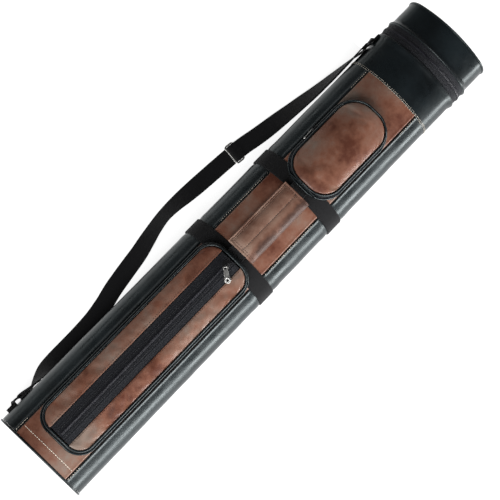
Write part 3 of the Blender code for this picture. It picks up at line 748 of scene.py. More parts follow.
# The strap's route from the bottom ring to the top ring: x, y, z of its middle, and how far its
# upper face leans from level towards the strap's side of the case, in degrees.
STRAP_ROUTE = (
    (-0.3632, 0.0710, 0.0211, 108),
    (-0.3500, 0.0722, 0.0190, 96),
    (-0.3350, 0.0748, 0.0150, 70),
    (-0.3190, 0.0775, 0.0104, 44),
    (-0.3030, 0.0770, 0.0061, 23),
    (-0.2860, 0.0765, 0.0028, 8),
    (-0.2640, 0.0764, 0.0010, 0),
    (-0.2380, 0.0772, 0.0009, 0),
    (-0.2180, 0.0790, 0.0009, 0),
    (-0.1980, 0.0826, 0.0009, 0),
    (-0.1780, 0.0874, 0.0010, 0),
    (-0.1580, 0.0908, 0.0012, 2),
    (-0.1380, 0.0938, 0.0022, 6),
    (-0.1180, 0.0968, 0.0042, 15),
    (-0.0980, 0.1012, 0.0064, 27),
    (-0.0780, 0.1055, 0.0085, 38),
    (-0.0580, 0.1084, 0.0090, 41),
    (-0.0380, 0.1086, 0.0078, 34),
    (-0.0180, 0.1074, 0.0052, 21),
    (0.0020, 0.1060, 0.0027, 9),
    (0.0220, 0.1047, 0.0012, 2),
    (0.0420, 0.1033, 0.0009, 0),
    (0.0600, 0.1020, 0.0009, 0),
    (0.0776, 0.1006, 0.0009, 0),
    (0.0950, 0.0986, 0.0009, 0),
    (0.1120, 0.0954, 0.0011, 1),
    (0.1290, 0.0924, 0.0024, 7),
    (0.1460, 0.0898, 0.0044, 16),
    (0.1640, 0.0872, 0.0068, 28),
    (0.1810, 0.0848, 0.0088, 37),
    (0.1980, 0.0826, 0.0108, 44),
    (0.2150, 0.0803, 0.0132, 52),
    (0.2320, 0.0784, 0.0162, 60),
    (0.2490, 0.0767, 0.0199, 68),
    (0.2660, 0.0752, 0.0240, 76),
    (0.2830, 0.0738, 0.0282, 84),
    (0.2960, 0.0729, 0.0305, 89),
    (0.3065, 0.0726, 0.0312, 90),
)
STRAP_LINE = curve_through(STRAP_ROUTE, 10)
STRAP_XS = [row[0] for row in STRAP_LINE]


def strap_at(x):
    """The middle of the strap's route at x, and the directions across it and out of its upper face."""
    i = min(max(bisect.bisect_right(STRAP_XS, x) - 1, 0), len(STRAP_LINE) - 2)
    before, after = STRAP_LINE[i], STRAP_LINE[i + 1]
    t = min(max((x - before[0]) / (after[0] - before[0]), 0.0), 1.0)
    _, y, z, lean = [a + (b - a) * t for a, b in zip(before, after)]
    tangent = Vector([b - a for a, b in zip(before[:3], after[:3])]).normalized()
    across = Vector((0, sin(radians(lean)), cos(radians(lean)))).cross(tangent).normalized()
    return Vector((x, y, z)), across, tangent.cross(across)


def layer_point(x, a, height):
    middle, across, face = strap_at(x)
    return middle + across * a + face * height


# Past the glide's middle along the strap, and the main layer's height over the route: it goes under
# the glide's first bar, up its first slot, over the other two bars and on as the upper layer.
MAIN_RISE = curve_through(
    (
        (-0.0300, 0.0),
        (-0.0062, 0.0),
        (-0.0050, 0.0010),
        (-0.0043, 0.0028),
        (-0.0034, 0.0045),
        (-0.0018, 0.0050),
        (0.0012, 0.0050),
        (0.0052, 0.0042),
        (0.0080, 0.0040),
        (0.0110, 0.0026),
        (0.0160, 0.0016),
        (0.0240, STRAP_PITCH),
    ),
    6,
)
# Past the glide's middle and height: the return layer's end, taken round the centre bar.
RETURN_TURN = (
    (0.0040, 0.0016),
    (0.0026, 0.0025),
    (0.0010, 0.0034),
    (-0.0012, 0.0035),
    (-0.0026, 0.0030),
    (-0.0032, 0.0018),
    (-0.0026, 0.0006),
)


def main_height(x):
    past = x - GLIDE.x
    if past <= MAIN_RISE[0][0]:
        return MAIN_RISE[0][1]
    for (start, low_height), (end, high_height) in zip(MAIN_RISE, MAIN_RISE[1:]):
        if past <= end:
            return low_height + (high_height - low_height) * (past - start) / (end - start)
    return STRAP_PITCH


def webbing_profile(half_width, thickness):
    """The section of a flat woven strap: a thin bar with soft, slightly thick edges."""
    half = thickness / 2
    bulge = 1.12
    turns = spread(0, pi, 0.7)
    edge = [(half_width - half + half * sin(t), half * bulge * cos(t)) for t in turns]
    steps = spread(half_width - 0.0010, -half_width + 0.0010, 0.0022)
    lower = [(a, -half) for a in steps]
    other = [(-a, -b) for a, b in edge]
    upper = [(-a, half) for a in steps]
    return [*edge, *lower, *other, *upper]


def ribbon(name, points, ups, body, replaces, thickness=STRAP_THICKNESS):
    """Webbing along points, its weave map laid along it in metres."""
    profile = webbing_profile(STRAP_HALF, thickness)[::-1]
    marks = Path(points, ups).marks

    def shaped(i):
        wide = 1 + 0.006 * ripple(points[i].x, 0, 90, STRAP_HALF)
        thick = 1 + 0.10 * ripple(points[i].x, 5, 160, thickness)
        return [(a * wide, b * thick) for a, b in profile]

    uvs = [(mark, a) for mark in marks for a, _ in profile]
    vertices, faces = sweep_mesh(points, ups, shaped)
    return piece(name, vertices, faces, "webbing", body, replaces, uvs, smooth=75)


def strap_layer(name, first, last, height, replaces, lead=()):
    """A layer of webbing between two stations, laid out in world space.

    height(x) is its height over the route, and lead is a few extra points that it starts with."""
    near = (GLIDE.x - 0.008, GLIDE.x + 0.024)
    stops = sorted({first, last, *(x for x in near if first < x < last)})
    xs = [first]
    for a, b in zip(stops, stops[1:]):
        xs += spread(a, b, 0.0005 if near[0] <= a and b <= near[1] else 0.0014)[1:]
    line = [*lead, *(layer_point(x, 0.0, height(x)) for x in xs)]
    obj = ribbon(name, line, [strap_at(p.x)[2] for p in line], None, replaces)
    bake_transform(obj)


def ring_frame(place):
    """A ring's bar: its middle, the direction out of the case, along the bar, and to its bow."""
    x, angle, reach = RING_ANGLES[place]
    turn = radians(angle)
    out = Vector((0, cos(turn), sin(turn)))
    bar = Vector((0, -sin(turn), cos(turn)))
    centre = Vector((x, FLAT_Y, SIDE_Z)) + out * (LOWER_RADIUS + RING_OFFSET)
    return centre, out, bar, Vector((reach, 0, 0))


def bow_depth(sideways):
    return BOW_START + (RING_DEPTH - BOW_START) * sqrt(max(1 - (sideways / RING_HALF) ** 2, 0.0))


def end_row(a, ring_x, away, upper, lower):
    """One line of a turned strap end at a distance across it: in over, round the bow, out under."""
    around = RING_WIRE + STRAP_THICKNESS / 2 + 0.0001
    bow_x = ring_x + away.x * bow_depth(a * 0.97)
    layers = []
    for (far_x, far_height), turned in ((upper, 1), (lower, -1)):
        layer = []
        for x in spread(far_x, bow_x, 0.0018):
            near = ease(1 - abs(x - bow_x) / 0.024)
            height = far_height + (turned * around - far_height) * near
            crease = 0.0005 * near * ripple(a, x * 0.2, 260, turned)
            layer.append(layer_point(x, a, height + crease))
        layers.append(layer)
    turns = spread(0, pi, 0.3)[1:-1]
    bend = [layer_point(bow_x, a, around * cos(t)) - away * around * sin(t) for t in turns]
    return layers[0] + bend + layers[1][::-1]


def resampled(points, count):
    path = Path(points, points)
    return [path.at(path.length * i / (count - 1))[0] for i in range(count)]


def strap_end(place, upper, lower, bodies, bend):
    """The strap's end turned round a ring's bow and brought back under itself.

    upper and lower are a layer's far station and its height there."""
    centre, _, _, away = ring_frame(place)
    acrosses = [STRAP_HALF * sin(t) for t in spread(-pi / 2, pi / 2, 0.16)]
    rows = [end_row(a, centre.x, away, upper, lower) for a in acrosses]
    count = min(len(row) for row in rows)
    even = [resampled(row, count) for row in rows]
    vertices = [row[i] for i in range(count) for row in even]
    uvs = [(0.0013 * i, a) for i in range(count) for a in acrosses]
    faces = grid_faces(count, len(rows))
    obj = piece("strap_end_" + place, vertices, faces, "webbing", None, uvs=uvs, smooth=75)
    applied(solidify(obj, STRAP_THICKNESS, 0.0))
    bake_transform(obj)
    return obj


def strap():
    """The strap in pieces: its two turned ends and three layers."""
    rings = (("ring_bottom", "case_body"), ("case_body", "ring_top"))
    span = ((-0.364, 0.071, 0.02), (-0.336, 0.074, 0.02))
    ends = ((STRAP_LOW_X, 0.0), (STRAP_LOW_X - 0.006, -0.0013))
    low_end = strap_end("bottom", *ends, rings[0], span)
    span = ((0.262, 0.076, 0.02), (0.304, 0.073, 0.03))
    ends = ((STRAP_HIGH_X, STRAP_PITCH), (STRAP_HIGH_X, 0.0))
    high_end = strap_end("top", *ends, rings[1], span)

    span = ((-0.020, 0.1076, 0), (0.064, 0.102, 0))
    name = "shoulder_strap_webbing"
    strap_layer(name, STRAP_LOW_X, GLIDE.x, main_height, ["shoulder_strap"])
    span = ((0.092, 0.099, 0), (0.185, 0.084, 0))
    name = "shoulder_strap_upper"
    strap_layer(name, GLIDE.x, STRAP_HIGH_X, main_height, ())
    lead = [layer_point(GLIDE.x + past, 0.0, height) for past, height in RETURN_TURN]
    name = "strap_return_webbing"
    start = GLIDE.x - 0.0012
    strap_layer(name, start, STRAP_HIGH_X, lambda x: 0.0, ["strap_return"], lead)


def tri_glide():
    """A wire frame with a ridged bar at each end and a centre bar."""
    across = Vector((-GLIDE_LEAN.y, GLIDE_LEAN.x, 0))
    outline = rounded_outline(-GLIDE_LONG, GLIDE_LONG, GLIDE_WIDE, GLIDE_CORNER, 0.0006)
    wire = [GLIDE + GLIDE_LEAN * u + across * v for u, v, _, _ in outline]

    def section_at(i):
        on_bar = ease(abs((wire[i] - GLIDE).dot(GLIDE_LEAN)) / GLIDE_LONG * 4 - 3)
        ridge = 0.02 * sin(i * 2.4) * on_bar
        return circle(0.0012 + 0.0004 * on_bar, 12, (0.75 - 0.19 * on_bar) * (1 + ridge))

    loop = sweep_mesh(wire, UP, section_at, closed=True)
    bar = [GLIDE + across * v for v in spread(-GLIDE_WIDE, GLIDE_WIDE, 0.0012)]
    whole = joined([loop, sweep_mesh(bar, UP, circle(0.0010, 10, 0.85))])
    return piece("tri_glide_frame", *whole, "silver_metal", "strap_adjuster", ["tri_glide"])


def d_ring(place):
    centre, _, bar, away = ring_frame(place)
    bend, width, depth = RING_BEND, RING_HALF, RING_DEPTH - BOW_START
    outline = [(v, 0.0) for v in spread(bend - width, width - bend, 0.0020)]
    turns = spread(0, pi / 2, 0.3)[1:]
    corner = [(width - bend + bend * sin(t), bend - bend * cos(t)) for t in turns]
    bow = [(width * cos(t), BOW_START + depth * sin(t)) for t in spread(0, pi, 0.1)]
    outline += corner + bow + [(-u, v) for u, v in reversed(corner)]
    points = [centre + bar * u + away * v for u, v in outline]
    wire = sweep_mesh(points, bar.cross(away), circle(RING_WIRE, 14), closed=True)
    name = "d_ring_" + place
    return piece(name + "_wire", *wire, "black_metal", "ring_" + place, [name])


def ring_tab(place):
    """Webbing folded round the ring's bar, its two layers sewn flat to the side of the case."""
    centre, out, bar, away = ring_frame(place)
    eye = RING_WIRE + GAP + STRAP_THICKNESS / 2
    sewn = 0.0012
    inner = [(-d, -eye) for d in spread(TAB_LENGTH, 0.0, 0.0010)]
    turn = [(eye * sin(t), -eye * cos(t)) for t in spread(0, pi, 0.25)][1:]
    outer = [(-d, eye - (eye + sewn) * ease(d / 0.0040)) for d in spread(0.0, TAB_LENGTH, 0.0008)]
    points = [centre + away * u + out * v for u, v in inner + turn + outer[1:]]
    name = "ring_tab_" + place
    ribbon(name + "_webbing", points, [t.cross(bar) for t in directions(points)], "case_body", [name])

    near, far, side = -0.0048, -0.0115, 0.0105
    corners = ((far, -side), (far, side), (near, side), (near, -side))
    top = out * (STRAP_THICKNESS / 2 - sewn)
    box = [centre + away * u + bar * v + top for u, v in corners]
    lines = [*zip(box, box[1:] + box[:1]), (box[0], box[2]), (box[1], box[3])]
    stitches(name + "_stitches", [Path(line, out) for line in lines], "black_thread", TAB_THREAD)


# ---------------------------------------------------------------- skins of the case
SKIN_STEP = 0.0024
PANEL_DENTS = (2.0, 0.0003)
WRAP_DENTS = (7.0, 0.00045)
YOKE_DENTS = (12.0, 0.0004)
LID_DENTS = (23.0, 0.00055)
SKIN_TOP_X = YOKE_X + 0.0030
SEAM_STITCH_S = PANEL_S + 0.0019
SEAM_STITCH_HEIGHT = 0.0019
BASE_STITCH_X = -0.3900
YOKE_STITCH_INSETS = (0.0012, 0.0034)
MOUTH_STITCH_X = 0.3368
# Where the yoke starts to rise over the zip's tape and the lid's vinyl to fall from it, how far
# each stands up there, and how far from a folded edge the dents fade out.
YOKE_RISE_X, YOKE_RISE = 0.3290, 0.0019
LID_FALL_X, LID_FALL = 0.3625, 0.0018
DENT_FADE = 0.012


def soft_dents(x, s, seed, size):
    """Long shallow waves and small dents in a padded vinyl skin."""
    waves = 0.6 * ripple(x, s, 17, seed) + 0.4 * ripple(x, s, 41, seed + 3)
    return size * waves


def skin_height(x, s, dents):
    return COVER + (soft_dents(x, s, *dents) + 0.00025) * clear_of_bands(x) + band_pinch(x)


def front_panel():
    edge_s = PANEL_S - GAP

    def corner(x, s):
        edge = turned_edge(edge_s - abs(s), 0.0005)
        return on_case(x, s, skin_height(x, s, PANEL_DENTS) + edge * clear_of_bands(x))

    xs = spread(BODY_X, SKIN_TOP_X, SKIN_STEP)
    across = graded(-edge_s, edge_s, 0.0040)
    return grid("front_panel_skin", xs, across, corner, "brown_vinyl", replaces=["front_panel"])


def side_wrap():
    start, end = PANEL_S + GAP, ROUND - PANEL_S - GAP

    def corner(x, s):
        edge = turned_edge(min(s - start, end - s), 0.0007)
        flat_back = ease((0.0300 - abs(s - HALF_ROUND)) / 0.020)
        mirrored = min(s, ROUND - s) * (1 if s < HALF_ROUND else -1)
        height = skin_height(x, mirrored, WRAP_DENTS)
        height = height * (1 - 0.5 * flat_back) + 0.5 * COVER * flat_back
        return on_case(x, s, height + edge * clear_of_bands(x))

    xs = spread(BODY_X, SKIN_TOP_X, SKIN_STEP)
    across = graded(start, end, 0.0030)
    return grid("side_and_back_skin", xs, across, corner, "black_vinyl", replaces=["side_and_back_wrap"])


def round_lines(count):
    """Places round the whole section, evenly spaced."""
    return [-HALF_ROUND + ROUND * i / count for i in range(count)]


def ring_grid(name, xs, height, finish, body, replaces):
    """A skin that goes all the way round: height(x, s) is its distance out of the board."""
    ss = round_lines(170)
    vertices = [on_case(x, s, height(x, s)) for x in xs for s in ss]
    faces = grid_faces(len(xs), len(ss), closed_columns=True)
    uvs = [(s, x) for x in xs for s in ss]
    return piece(name, vertices, faces, finish, body, replaces, uvs)


def off_table(height):
    """The same height but held down on the flat back, so that no raised edge stands proud of it."""

    def held(x, s):
        past_side = abs((s + HALF_ROUND) % ROUND - HALF_ROUND) - (HALF_ROUND - FLAT_Y - 0.004)
        free = height(x, s)
        return free + (min(free, BACK_LIMIT) - free) * ease(past_side / 0.008)

    return held


def yoke_height(x, s):
    """The yoke is folded under at its lower edge and rises over the zip tape at its upper one."""
    rise = YOKE_RISE * ease((x - YOKE_RISE_X) / 0.0065)
    dents = soft_dents(x, s, *YOKE_DENTS) * end_ease(x, YOKE_X, YOKE_END_X - 0.0002, DENT_FADE)
    return COVER + FOLD + dents + rise + turned_edge(min(x - YOKE_X, YOKE_END_X - x), 0.0005)


def yoke():
    xs = graded(YOKE_X, YOKE_END_X, 0.0030)
    height = off_table(yoke_height)
    return ring_grid("top_yoke_skin", xs, height, "black_vinyl", "case_body", ["top_yoke"])


def seam_line(s, first, last):
    xs = spread(first, last, 0.004)
    return Path([on_case(x, s, SEAM_STITCH_HEIGHT) for x in xs], outward(s))


def round_line(x, reach, height):
    """A path across the case at x, as far as reach on each side, at a height(x, s) over the board."""
    ss = spread(-reach, reach, 0.0025)
    return Path([on_case(x, s, height(x, s)) for s in ss], [outward(s) for s in ss])


def body_stitches():
    (low_a, low_b), (high_a, high_b) = BANDS["webbing_band_lower"], BANDS["webbing_band_upper"]
    clear = ((BODY_X + 0.001, LONG[0] - 0.006), (low_b + 0.003, high_a - 0.003))
    clear += ((SMALL[1] + 0.006, YOKE_X - 0.001),)
    beside = ((LONG[0] - 0.005, low_a - 0.003), (high_b + 0.003, SMALL[1] + 0.005))
    seams = (("seam_stitches", clear, "cream_thread"), ("pocket_seam_stitches", beside, "black_thread"))
    for name, spans, finish in seams:
        lines = [seam_line(side * SEAM_STITCH_S, *span) for side in (1, -1) for span in spans]
        stitches(name, lines, finish, SEAM_THREAD)
    base = round_line(BASE_STITCH_X, PANEL_S - 0.002, lambda x, s: skin_height(x, s, PANEL_DENTS))
    stitches("base_stitches", [base], "cream_thread", BASE_THREAD)
    rows = [round_line(YOKE_X + d, HALF_ROUND - 0.002, yoke_height) for d in YOKE_STITCH_INSETS]
    stitches("yoke_stitches", rows, "cream_thread", YOKE_THREAD)
    edge = round_line(MOUTH_STITCH_X, ZIP_REACH, yoke_height)
    stitches("mouth_stitches", [edge], "black_thread", MOUTH_THREAD)


def end_piping(name, x, body, node):
    ss = spread(-HALF_ROUND, HALF_ROUND, 0.002)[:-1]
    path = Path([on_case(x, s, BAND_TOP - PIPE) for s in ss], [outward(s) for s in ss], True)
    return piping(name, path, body, [node], x)


def end_cap(name, x, away, finish, body, node, inset=0.0004, puff=0.0006, seed=0.0):
    """A round end panel, slightly padded, whose middle stands out by puff."""
    rings = (0.03, 0.08, 0.2, 0.35, 0.5, 0.65, 0.78, 0.88, 0.94, 0.975, 1.0)
    ss = round_lines(120)
    middle_z = (CROWN_Z + BACK_Z) / 2
    vertices = []
    for f in rings:
        for s in ss:
            rim = on_case(x, s, -inset)
            lift = puff * (1 - f**6) * (0.75 + 0.25 * ripple(f * s, s * 0.3, 30, seed))
            z = middle_z + (rim.z - middle_z) * f
            vertices.append(Vector((x + away * (lift - puff), rim.y * f, z)))
    faces = grid_faces(len(rings), len(ss), closed_columns=True) + [tuple(range(len(ss)))]
    if away > 0:
        faces = [face[::-1] for face in faces]
    uvs = [(v.y, v.z) for v in vertices]
    return solidify(piece(name, vertices, faces, finish, body, [node], uvs), 0.0004)


def band(name):
    """A webbing band round the whole case, with rounded selvedges and a low rib."""
    first, last = BANDS[name]
    half = (last - first) / 2
    edges = (0.0, 0.0001, 0.0003, 0.0007, 0.0014, 0.0022)
    middle = spread(first + 0.0034, last - 0.0034, 0.0022)
    xs = [first + d for d in edges] + middle + [last - d for d in reversed(edges)]

    def height(x, s):
        inside = min(x - first, last - x)
        round_edge = sqrt(1 - (1 - min(inside / 0.0007, 1.0)) ** 2)
        selvedge = 0.00012 * hump(inside, 0.0016, 0.0008)
        wave = 0.00012 * ripple(s, half, 60, first)
        return BAND_FOOT + (BAND_TOP - BAND_FOOT) * round_edge + selvedge + wave - 0.0001

    return ring_grid(name + "_webbing", xs, height, "webbing", "case_body", [name])


# ---------------------------------------------------------------- lid and its zip
TAPE_GAP = 0.00015
TAPE_HEIGHT = 0.0021
TAPE_STITCH_HEIGHT = 0.0024
TEETH_HEIGHT = 0.0027
BODY_STITCH_XS = (0.3425, 0.3448)
LID_STITCH_X = 0.3545
LID_EDGE_STITCH_X = 0.3624


def lid_height(x, s):
    """The lid's vinyl is folded over its zip tape, and lies close to the board past it."""
    rise = LID_FALL * (1 - ease((x - LID_FALL_X) / 0.0060))
    dents = soft_dents(x, s, *LID_DENTS) * ease((x - LID_FALL_X - 0.0025) / DENT_FADE)
    return COVER + FOLD + rise + dents + turned_edge(x - LID_START_X, 0.0006)


def lid_skin():
    xs = [LID_START_X + e for e in EDGE_STEPS] + spread(0.3660, LID_END_X, SKIN_STEP)
    return ring_grid("lid_skin", xs, off_table(lid_height), "black_vinyl", "lid", ["lid_wrap"])


def zip_tape(name, first, last, edge_x, body, node):
    """Half of a zip's woven tape, with two raised cords near its teeth."""

    def corner(x, s):
        inside = abs(x - edge_x)
        ridge = 0.00025 * hump(inside, 0.0036, 0.0005) + 0.00016 * hump(inside, 0.0062, 0.0005)
        return on_case(x, s, TAPE_HEIGHT + ridge + 0.00008 * ripple(x, s, 70, 2.0))

    xs = spread(first, last, 0.0006)
    ss = spread(-TAPE_REACH, TAPE_REACH, 0.0025)
    return solidify(grid(name, xs, ss, corner, "zip_tape", body, [node]), 0.0007)


def teeth(name, path, side, coil, body="case_body"):
    """One side of a closed zip coil: small loops that reach across the middle."""
    pitch, reach, radius = coil
    loop = ((1.0, 0.1), (0.5, 0.9), (-0.05, 1.25), (-0.45, 0.7), (-0.3, -0.2))
    parts = []
    for k in range(int(path.length / pitch)):
        distance = (k + (0.5 if side > 0 else 0.0)) * pitch + pitch / 4
        point, along, out = path.at(distance)
        across = out.cross(along).normalized() * side
        line = [point + across * reach * a + out * radius * b for a, b in loop]
        parts.append(sweep_mesh(line, along, circle(radius, 6)))
    return piece(name, *joined(parts), "zip_teeth", body)


def lid_zip():
    body_tape, lid_tape = "lid_zip_tape_body", "lid_zip_tape_lid"
    body_end, lid_start = SPLIT_X - TAPE_GAP, SPLIT_X + TAPE_GAP
    zip_tape("lid_zip_tape_on_body", low(body_tape).x, body_end, BODY_EDGE, "case_body", body_tape)
    zip_tape("lid_zip_tape_on_lid", lid_start, high(lid_tape).x, LID_EDGE, "lid", lid_tape)
    path = round_line(SPLIT_X, TEETH_REACH, lambda x, s: TEETH_HEIGHT)
    teeth("lid_zip_teeth_on_body", path, 1, LID_COIL)
    teeth("lid_zip_teeth_on_lid", path, -1, LID_COIL, "lid")

    def on_tape(x):
        return round_line(x, ZIP_REACH, lambda x, s: TAPE_STITCH_HEIGHT)

    rows = [on_tape(x) for x in BODY_STITCH_XS]
    stitches("zip_stitches_on_body", rows, "black_thread", LID_ZIP_THREAD)
    rows = [on_tape(LID_STITCH_X), round_line(LID_EDGE_STITCH_X, ZIP_REACH, lid_height)]
    stitches("zip_stitches_on_lid", rows, "black_thread", LID_ZIP_THREAD, "lid")


def lid_hinge():
    """The vinyl strip across the flat back that the lid turns on."""
    half = FLAT_Y - 0.0012
    bend = 0.005
    first, last = low("hinge_strip_body").x, high("hinge_strip_lid").x
    xs = spread(first, SPLIT_X - bend, 0.0018)
    xs += spread(SPLIT_X - bend, SPLIT_X + bend, 0.0008)[1:] + spread(SPLIT_X + bend, last, 0.0018)[1:]

    def corner(x, y):
        groove = 0.0003 * hump(x, SPLIT_X, 0.0015)
        edge = turned_edge(min(half - abs(y), x - first, last - x), 0.0001) * 0.4
        return Vector((x, y, BACK_Z - 0.0024 + groove - edge))

    nodes = ["hinge_strip_body", "hinge_strip_lid"]
    strip = grid("lid_hinge_strip", xs, graded(-half, half, 0.004), corner, "black_vinyl", None, nodes)
    applied(solidify(strip, 0.0006))
    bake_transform(strip)


def plate(outline_halves, thickness, bevel, holes=()):
    """A bevelled plate; half widths along its length give its outline."""
    points = curve_through(outline_halves, 3)
    outline = [(u, v) for u, v in points] + [(u, -v) for u, v in reversed(points)]
    return filled([outline, *holes], thickness, bevel, 3)


# A slider's plan: how far along it, and its half width there, as parts of the whole.
SLIDER_PLAN = (
    (-0.50, 0.30),
    (-0.46, 0.48),
    (-0.30, 0.80),
    (-0.10, 0.98),
    (0.15, 1.0),
    (0.38, 0.90),
    (0.48, 0.70),
    (0.50, 0.45),
)


def slider_layer(length, width, thickness, bevel, height):
    """One plate of a slider, with its middle at a height."""
    plan = [(u * length, v * width / 2) for u, v in SLIDER_PLAN]
    vertices, faces = plate(plan, thickness, bevel)
    return [v + UP * height for v in vertices], faces


def zip_slider(node, origin, along, normal, size, body):
    """A cast slider: a domed top plate, side flanges and the bridge that holds its pull."""
    length, width, height = size
    top = slider_layer(length, width, height * 0.5, height * 0.2, height * 0.72)
    lower = slider_layer(length, width * 0.96, height * 0.35, height * 0.12, height * 0.2)
    crown = slider_layer(length * 0.7, width * 0.6, height * 0.3, height * 0.14, height)
    reach = length * 0.30
    arch = []
    for t in spread(0.0, pi, 0.25):
        arch.append(Vector((-reach * cos(t), 0, height * (0.9 + max(sin(t), 0.0) ** 0.7))))
    bridge = sweep_mesh(arch, Vector((0, 1, 0)), circle(0.00055, 8, 1.2))
    whole = stood(joined([top, lower, crown, bridge]), origin, along, normal)
    return piece(node + "_body", *whole, "black_metal", body, [node], smooth=40)


def zip_pull(node, pivot, along, normal, size, finish, body):
    """A cast pull: an eye on the slider's bridge, a waist and a dished boss at its far end."""
    length, width, height = size
    half = width / 2
    far = length - half
    hole = 0.30 * half
    plan = [(-0.0003, 0.45), (0.0003, 0.62), (0.0022, 0.72), (0.0046, 0.62), (0.34 * length, 0.70)]
    plan += [(0.50 * length, 0.74), (far - 1.2 * half, 0.72), (far - 0.5 * half, 0.90)]
    plan += [(far + half * sin(t), cos(t)) for t in (-0.1, 0.2, 0.6, 0.95, 1.25, 1.5)]
    eye = [(hole + 0.0007 + u, v) for u, v in circle(hole, 14)]
    boss = [(far + u, v) for u, v in circle(hole, 20)]
    flat = plate([(u, v * half) for u, v in plan], height, height * 0.32, [eye, boss])
    rim = 0.62 * half
    rim_path = [Vector((far + rim * cos(t), rim * sin(t), 0)) for t in spread(0, 2 * pi, 0.2)[:-1]]
    collar = sweep_mesh(rim_path, UP, circle(height * 0.50, 8, 1.30), closed=True)
    whole = stood(joined([flat, collar]), pivot, along, normal)
    return piece(node + "_tab", *whole, finish, body, [node], smooth=40)


def lid_slider():
    turn = radians(-40)
    out = Vector((0, cos(turn), sin(turn)))
    along_zip = Vector((0, -sin(turn), cos(turn)))
    slider_height = 0.0022
    foot = Vector((SPLIT_X, FLAT_Y, SIDE_Z)) + out * (LOWER_RADIUS + 0.0026 + 0.0006)
    zip_slider("lid_zip_slider", foot, along_zip, out, (0.0100, 0.0070, slider_height), "lid_slider")
    pivot = foot + out * (slider_height + 0.0003 + 0.0005) + Vector((-0.0015, 0, 0))
    size = (0.0125, 0.0062, 0.0010)
    zip_pull("lid_zip_pull", pivot, (-1, 0, 0), out, size, "black_metal", "lid_pull")


def mouth_binding(name, x, body):
    """Soft tape folded over the board's edge."""
    ss = round_lines(150)
    points = [on_case(x, s, -0.0012) for s in ss]
    profile = [(0.0007 * cos(t), 0.0015 * sin(t)) for t in spread(0, 2 * pi, 0.5)[:-1]]
    tape = sweep_mesh(points, [outward(s) for s in ss], profile, closed=True)
    return piece(name, *tape, "lining", body)


# ---------------------------------------------------------------- pockets
FACE_DRAW = 0.0012
PAD_ROLL = 0.0150
PANEL_INSET = FACE_DRAW + PIPE + GAP
FACE_TOP = POCKET_HEIGHT + GAP + 0.0013
FACE_CORD_HEIGHT = POCKET_HEIGHT + GAP + PIPE
WALL_STEP = 0.0025
WALL_FOOT = 0.0006
WALL_LEVELS = (0.0, 0.06, 0.16, 0.3, 0.45, 0.6, 0.74, 0.86, 0.95, 1.0)
LINING_INSET = 0.0016


def pocket_ring(sizes, grow, step):
    x0, x1, half_width, radius = sizes
    return rounded_outline(x0 - grow, x1 + grow, half_width + grow, radius + grow, step)


def foot_height(x):
    """A pocket's foot stands off the crown, and steps up onto the webbing bands."""
    return COVER + 0.0007 + (BAND_TOP - COVER) * ease((0.012 - past_bands(x)) / 0.010)


def base_cord_height(x):
    return foot_height(x) + PIPE


def pocket_cord(name, sizes, grow, height, node, body):
    """Piping round a pocket; height(x) is its middle's height over the crown."""
    points, outs = [], []
    for x, y, out_x, out_y in pocket_ring(sizes, grow, 0.0015):
        wander = 0.00015 * ripple(x, y, 45, grow)
        lifted = on_crown(x, y, height(x))
        points.append(lifted + Vector((out_x, out_y, 0)) * wander)
        outs.append(Vector((out_x, out_y, 1.2)).normalized())
    return piping(name, Path(points, outs, True), body, [node], grow)


def gusset(name, sizes, low_height, high_height, node, bulge, lean, body="case_body"):
    """A pocket's wall, pushed out a little and softly wrinkled; lean draws in its two edges."""
    ring = pocket_ring(sizes, 0.0, WALL_STEP)
    vertices, uvs = [], []
    for t in WALL_LEVELS:
        for k, (x, y, out_x, out_y) in enumerate(ring):
            wrinkle = 0.0005 * ripple(x + y, t * 0.02, 85, x * 3) * sin(pi * t)
            out = bulge * sin(pi * t) ** 0.8 + wrinkle + lean[0] + (lean[1] - lean[0]) * t
            height = low_height(x) + (high_height - low_height(x)) * t
            vertices.append(on_crown(x, y, height) + Vector((out_x, out_y, 0)) * out)
            uvs.append((k * WALL_STEP, t * 0.01))
    faces = grid_faces(len(WALL_LEVELS), len(ring), closed_columns=True, flip=True)
    return solidify(piece(name, vertices, faces, "black_vinyl", body, [node], uvs), 0.0013)


def pocket_foot(name, sizes, top, bulge, lean_in):
    """A pocket's wall from the crown up to a height, and the piping round its foot."""
    gusset(name + "_wall", sizes, foot_height, top, name + "_gusset", bulge, (WALL_FOOT, lean_in))
    node = name + "_base_piping"
    pocket_cord(name + "_base_cord", sizes, PIPE + WALL_FOOT, base_cord_height, node, "case_body")


def face_cord(name, sizes, node, body):
    """The piping round a pocket's padded face."""
    pocket_cord(name, sizes, -FACE_DRAW, lambda x: FACE_CORD_HEIGHT, node, body)


def corner_inset(y, half_width, radius):
    past = max(abs(y) - (half_width - radius), 0.0)
    return radius - sqrt(max(radius**2 - past**2, 0.0))


def edge_spread(half_width, radius, start, step):
    """Values of y from start to a rounded outline's edge, close together round its corner."""
    bend = half_width - radius
    turns = spread(0, pi / 2, 0.17)
    values = spread(start, max(bend, start + step), step) + [bend + radius * sin(t) for t in turns]
    found = [start]
    for value in sorted(values):
        if value > found[-1] + 0.0010:
            found.append(value)
    return found[:-1] + [half_width]


def both_sides(ys):
    """Values that start at 0, and their negatives before them."""
    return [-y for y in reversed(ys[1:])] + ys


def border_of(rows, columns):
    """The numbers round the edge of a grid of points."""
    last = (rows - 1) * columns
    first_side = [j * columns for j in range(rows)] + [last + i for i in range(1, columns)]
    second_side = [j * columns + columns - 1 for j in range(rows - 2, -1, -1)]
    return first_side + second_side + list(range(columns - 2, 0, -1))


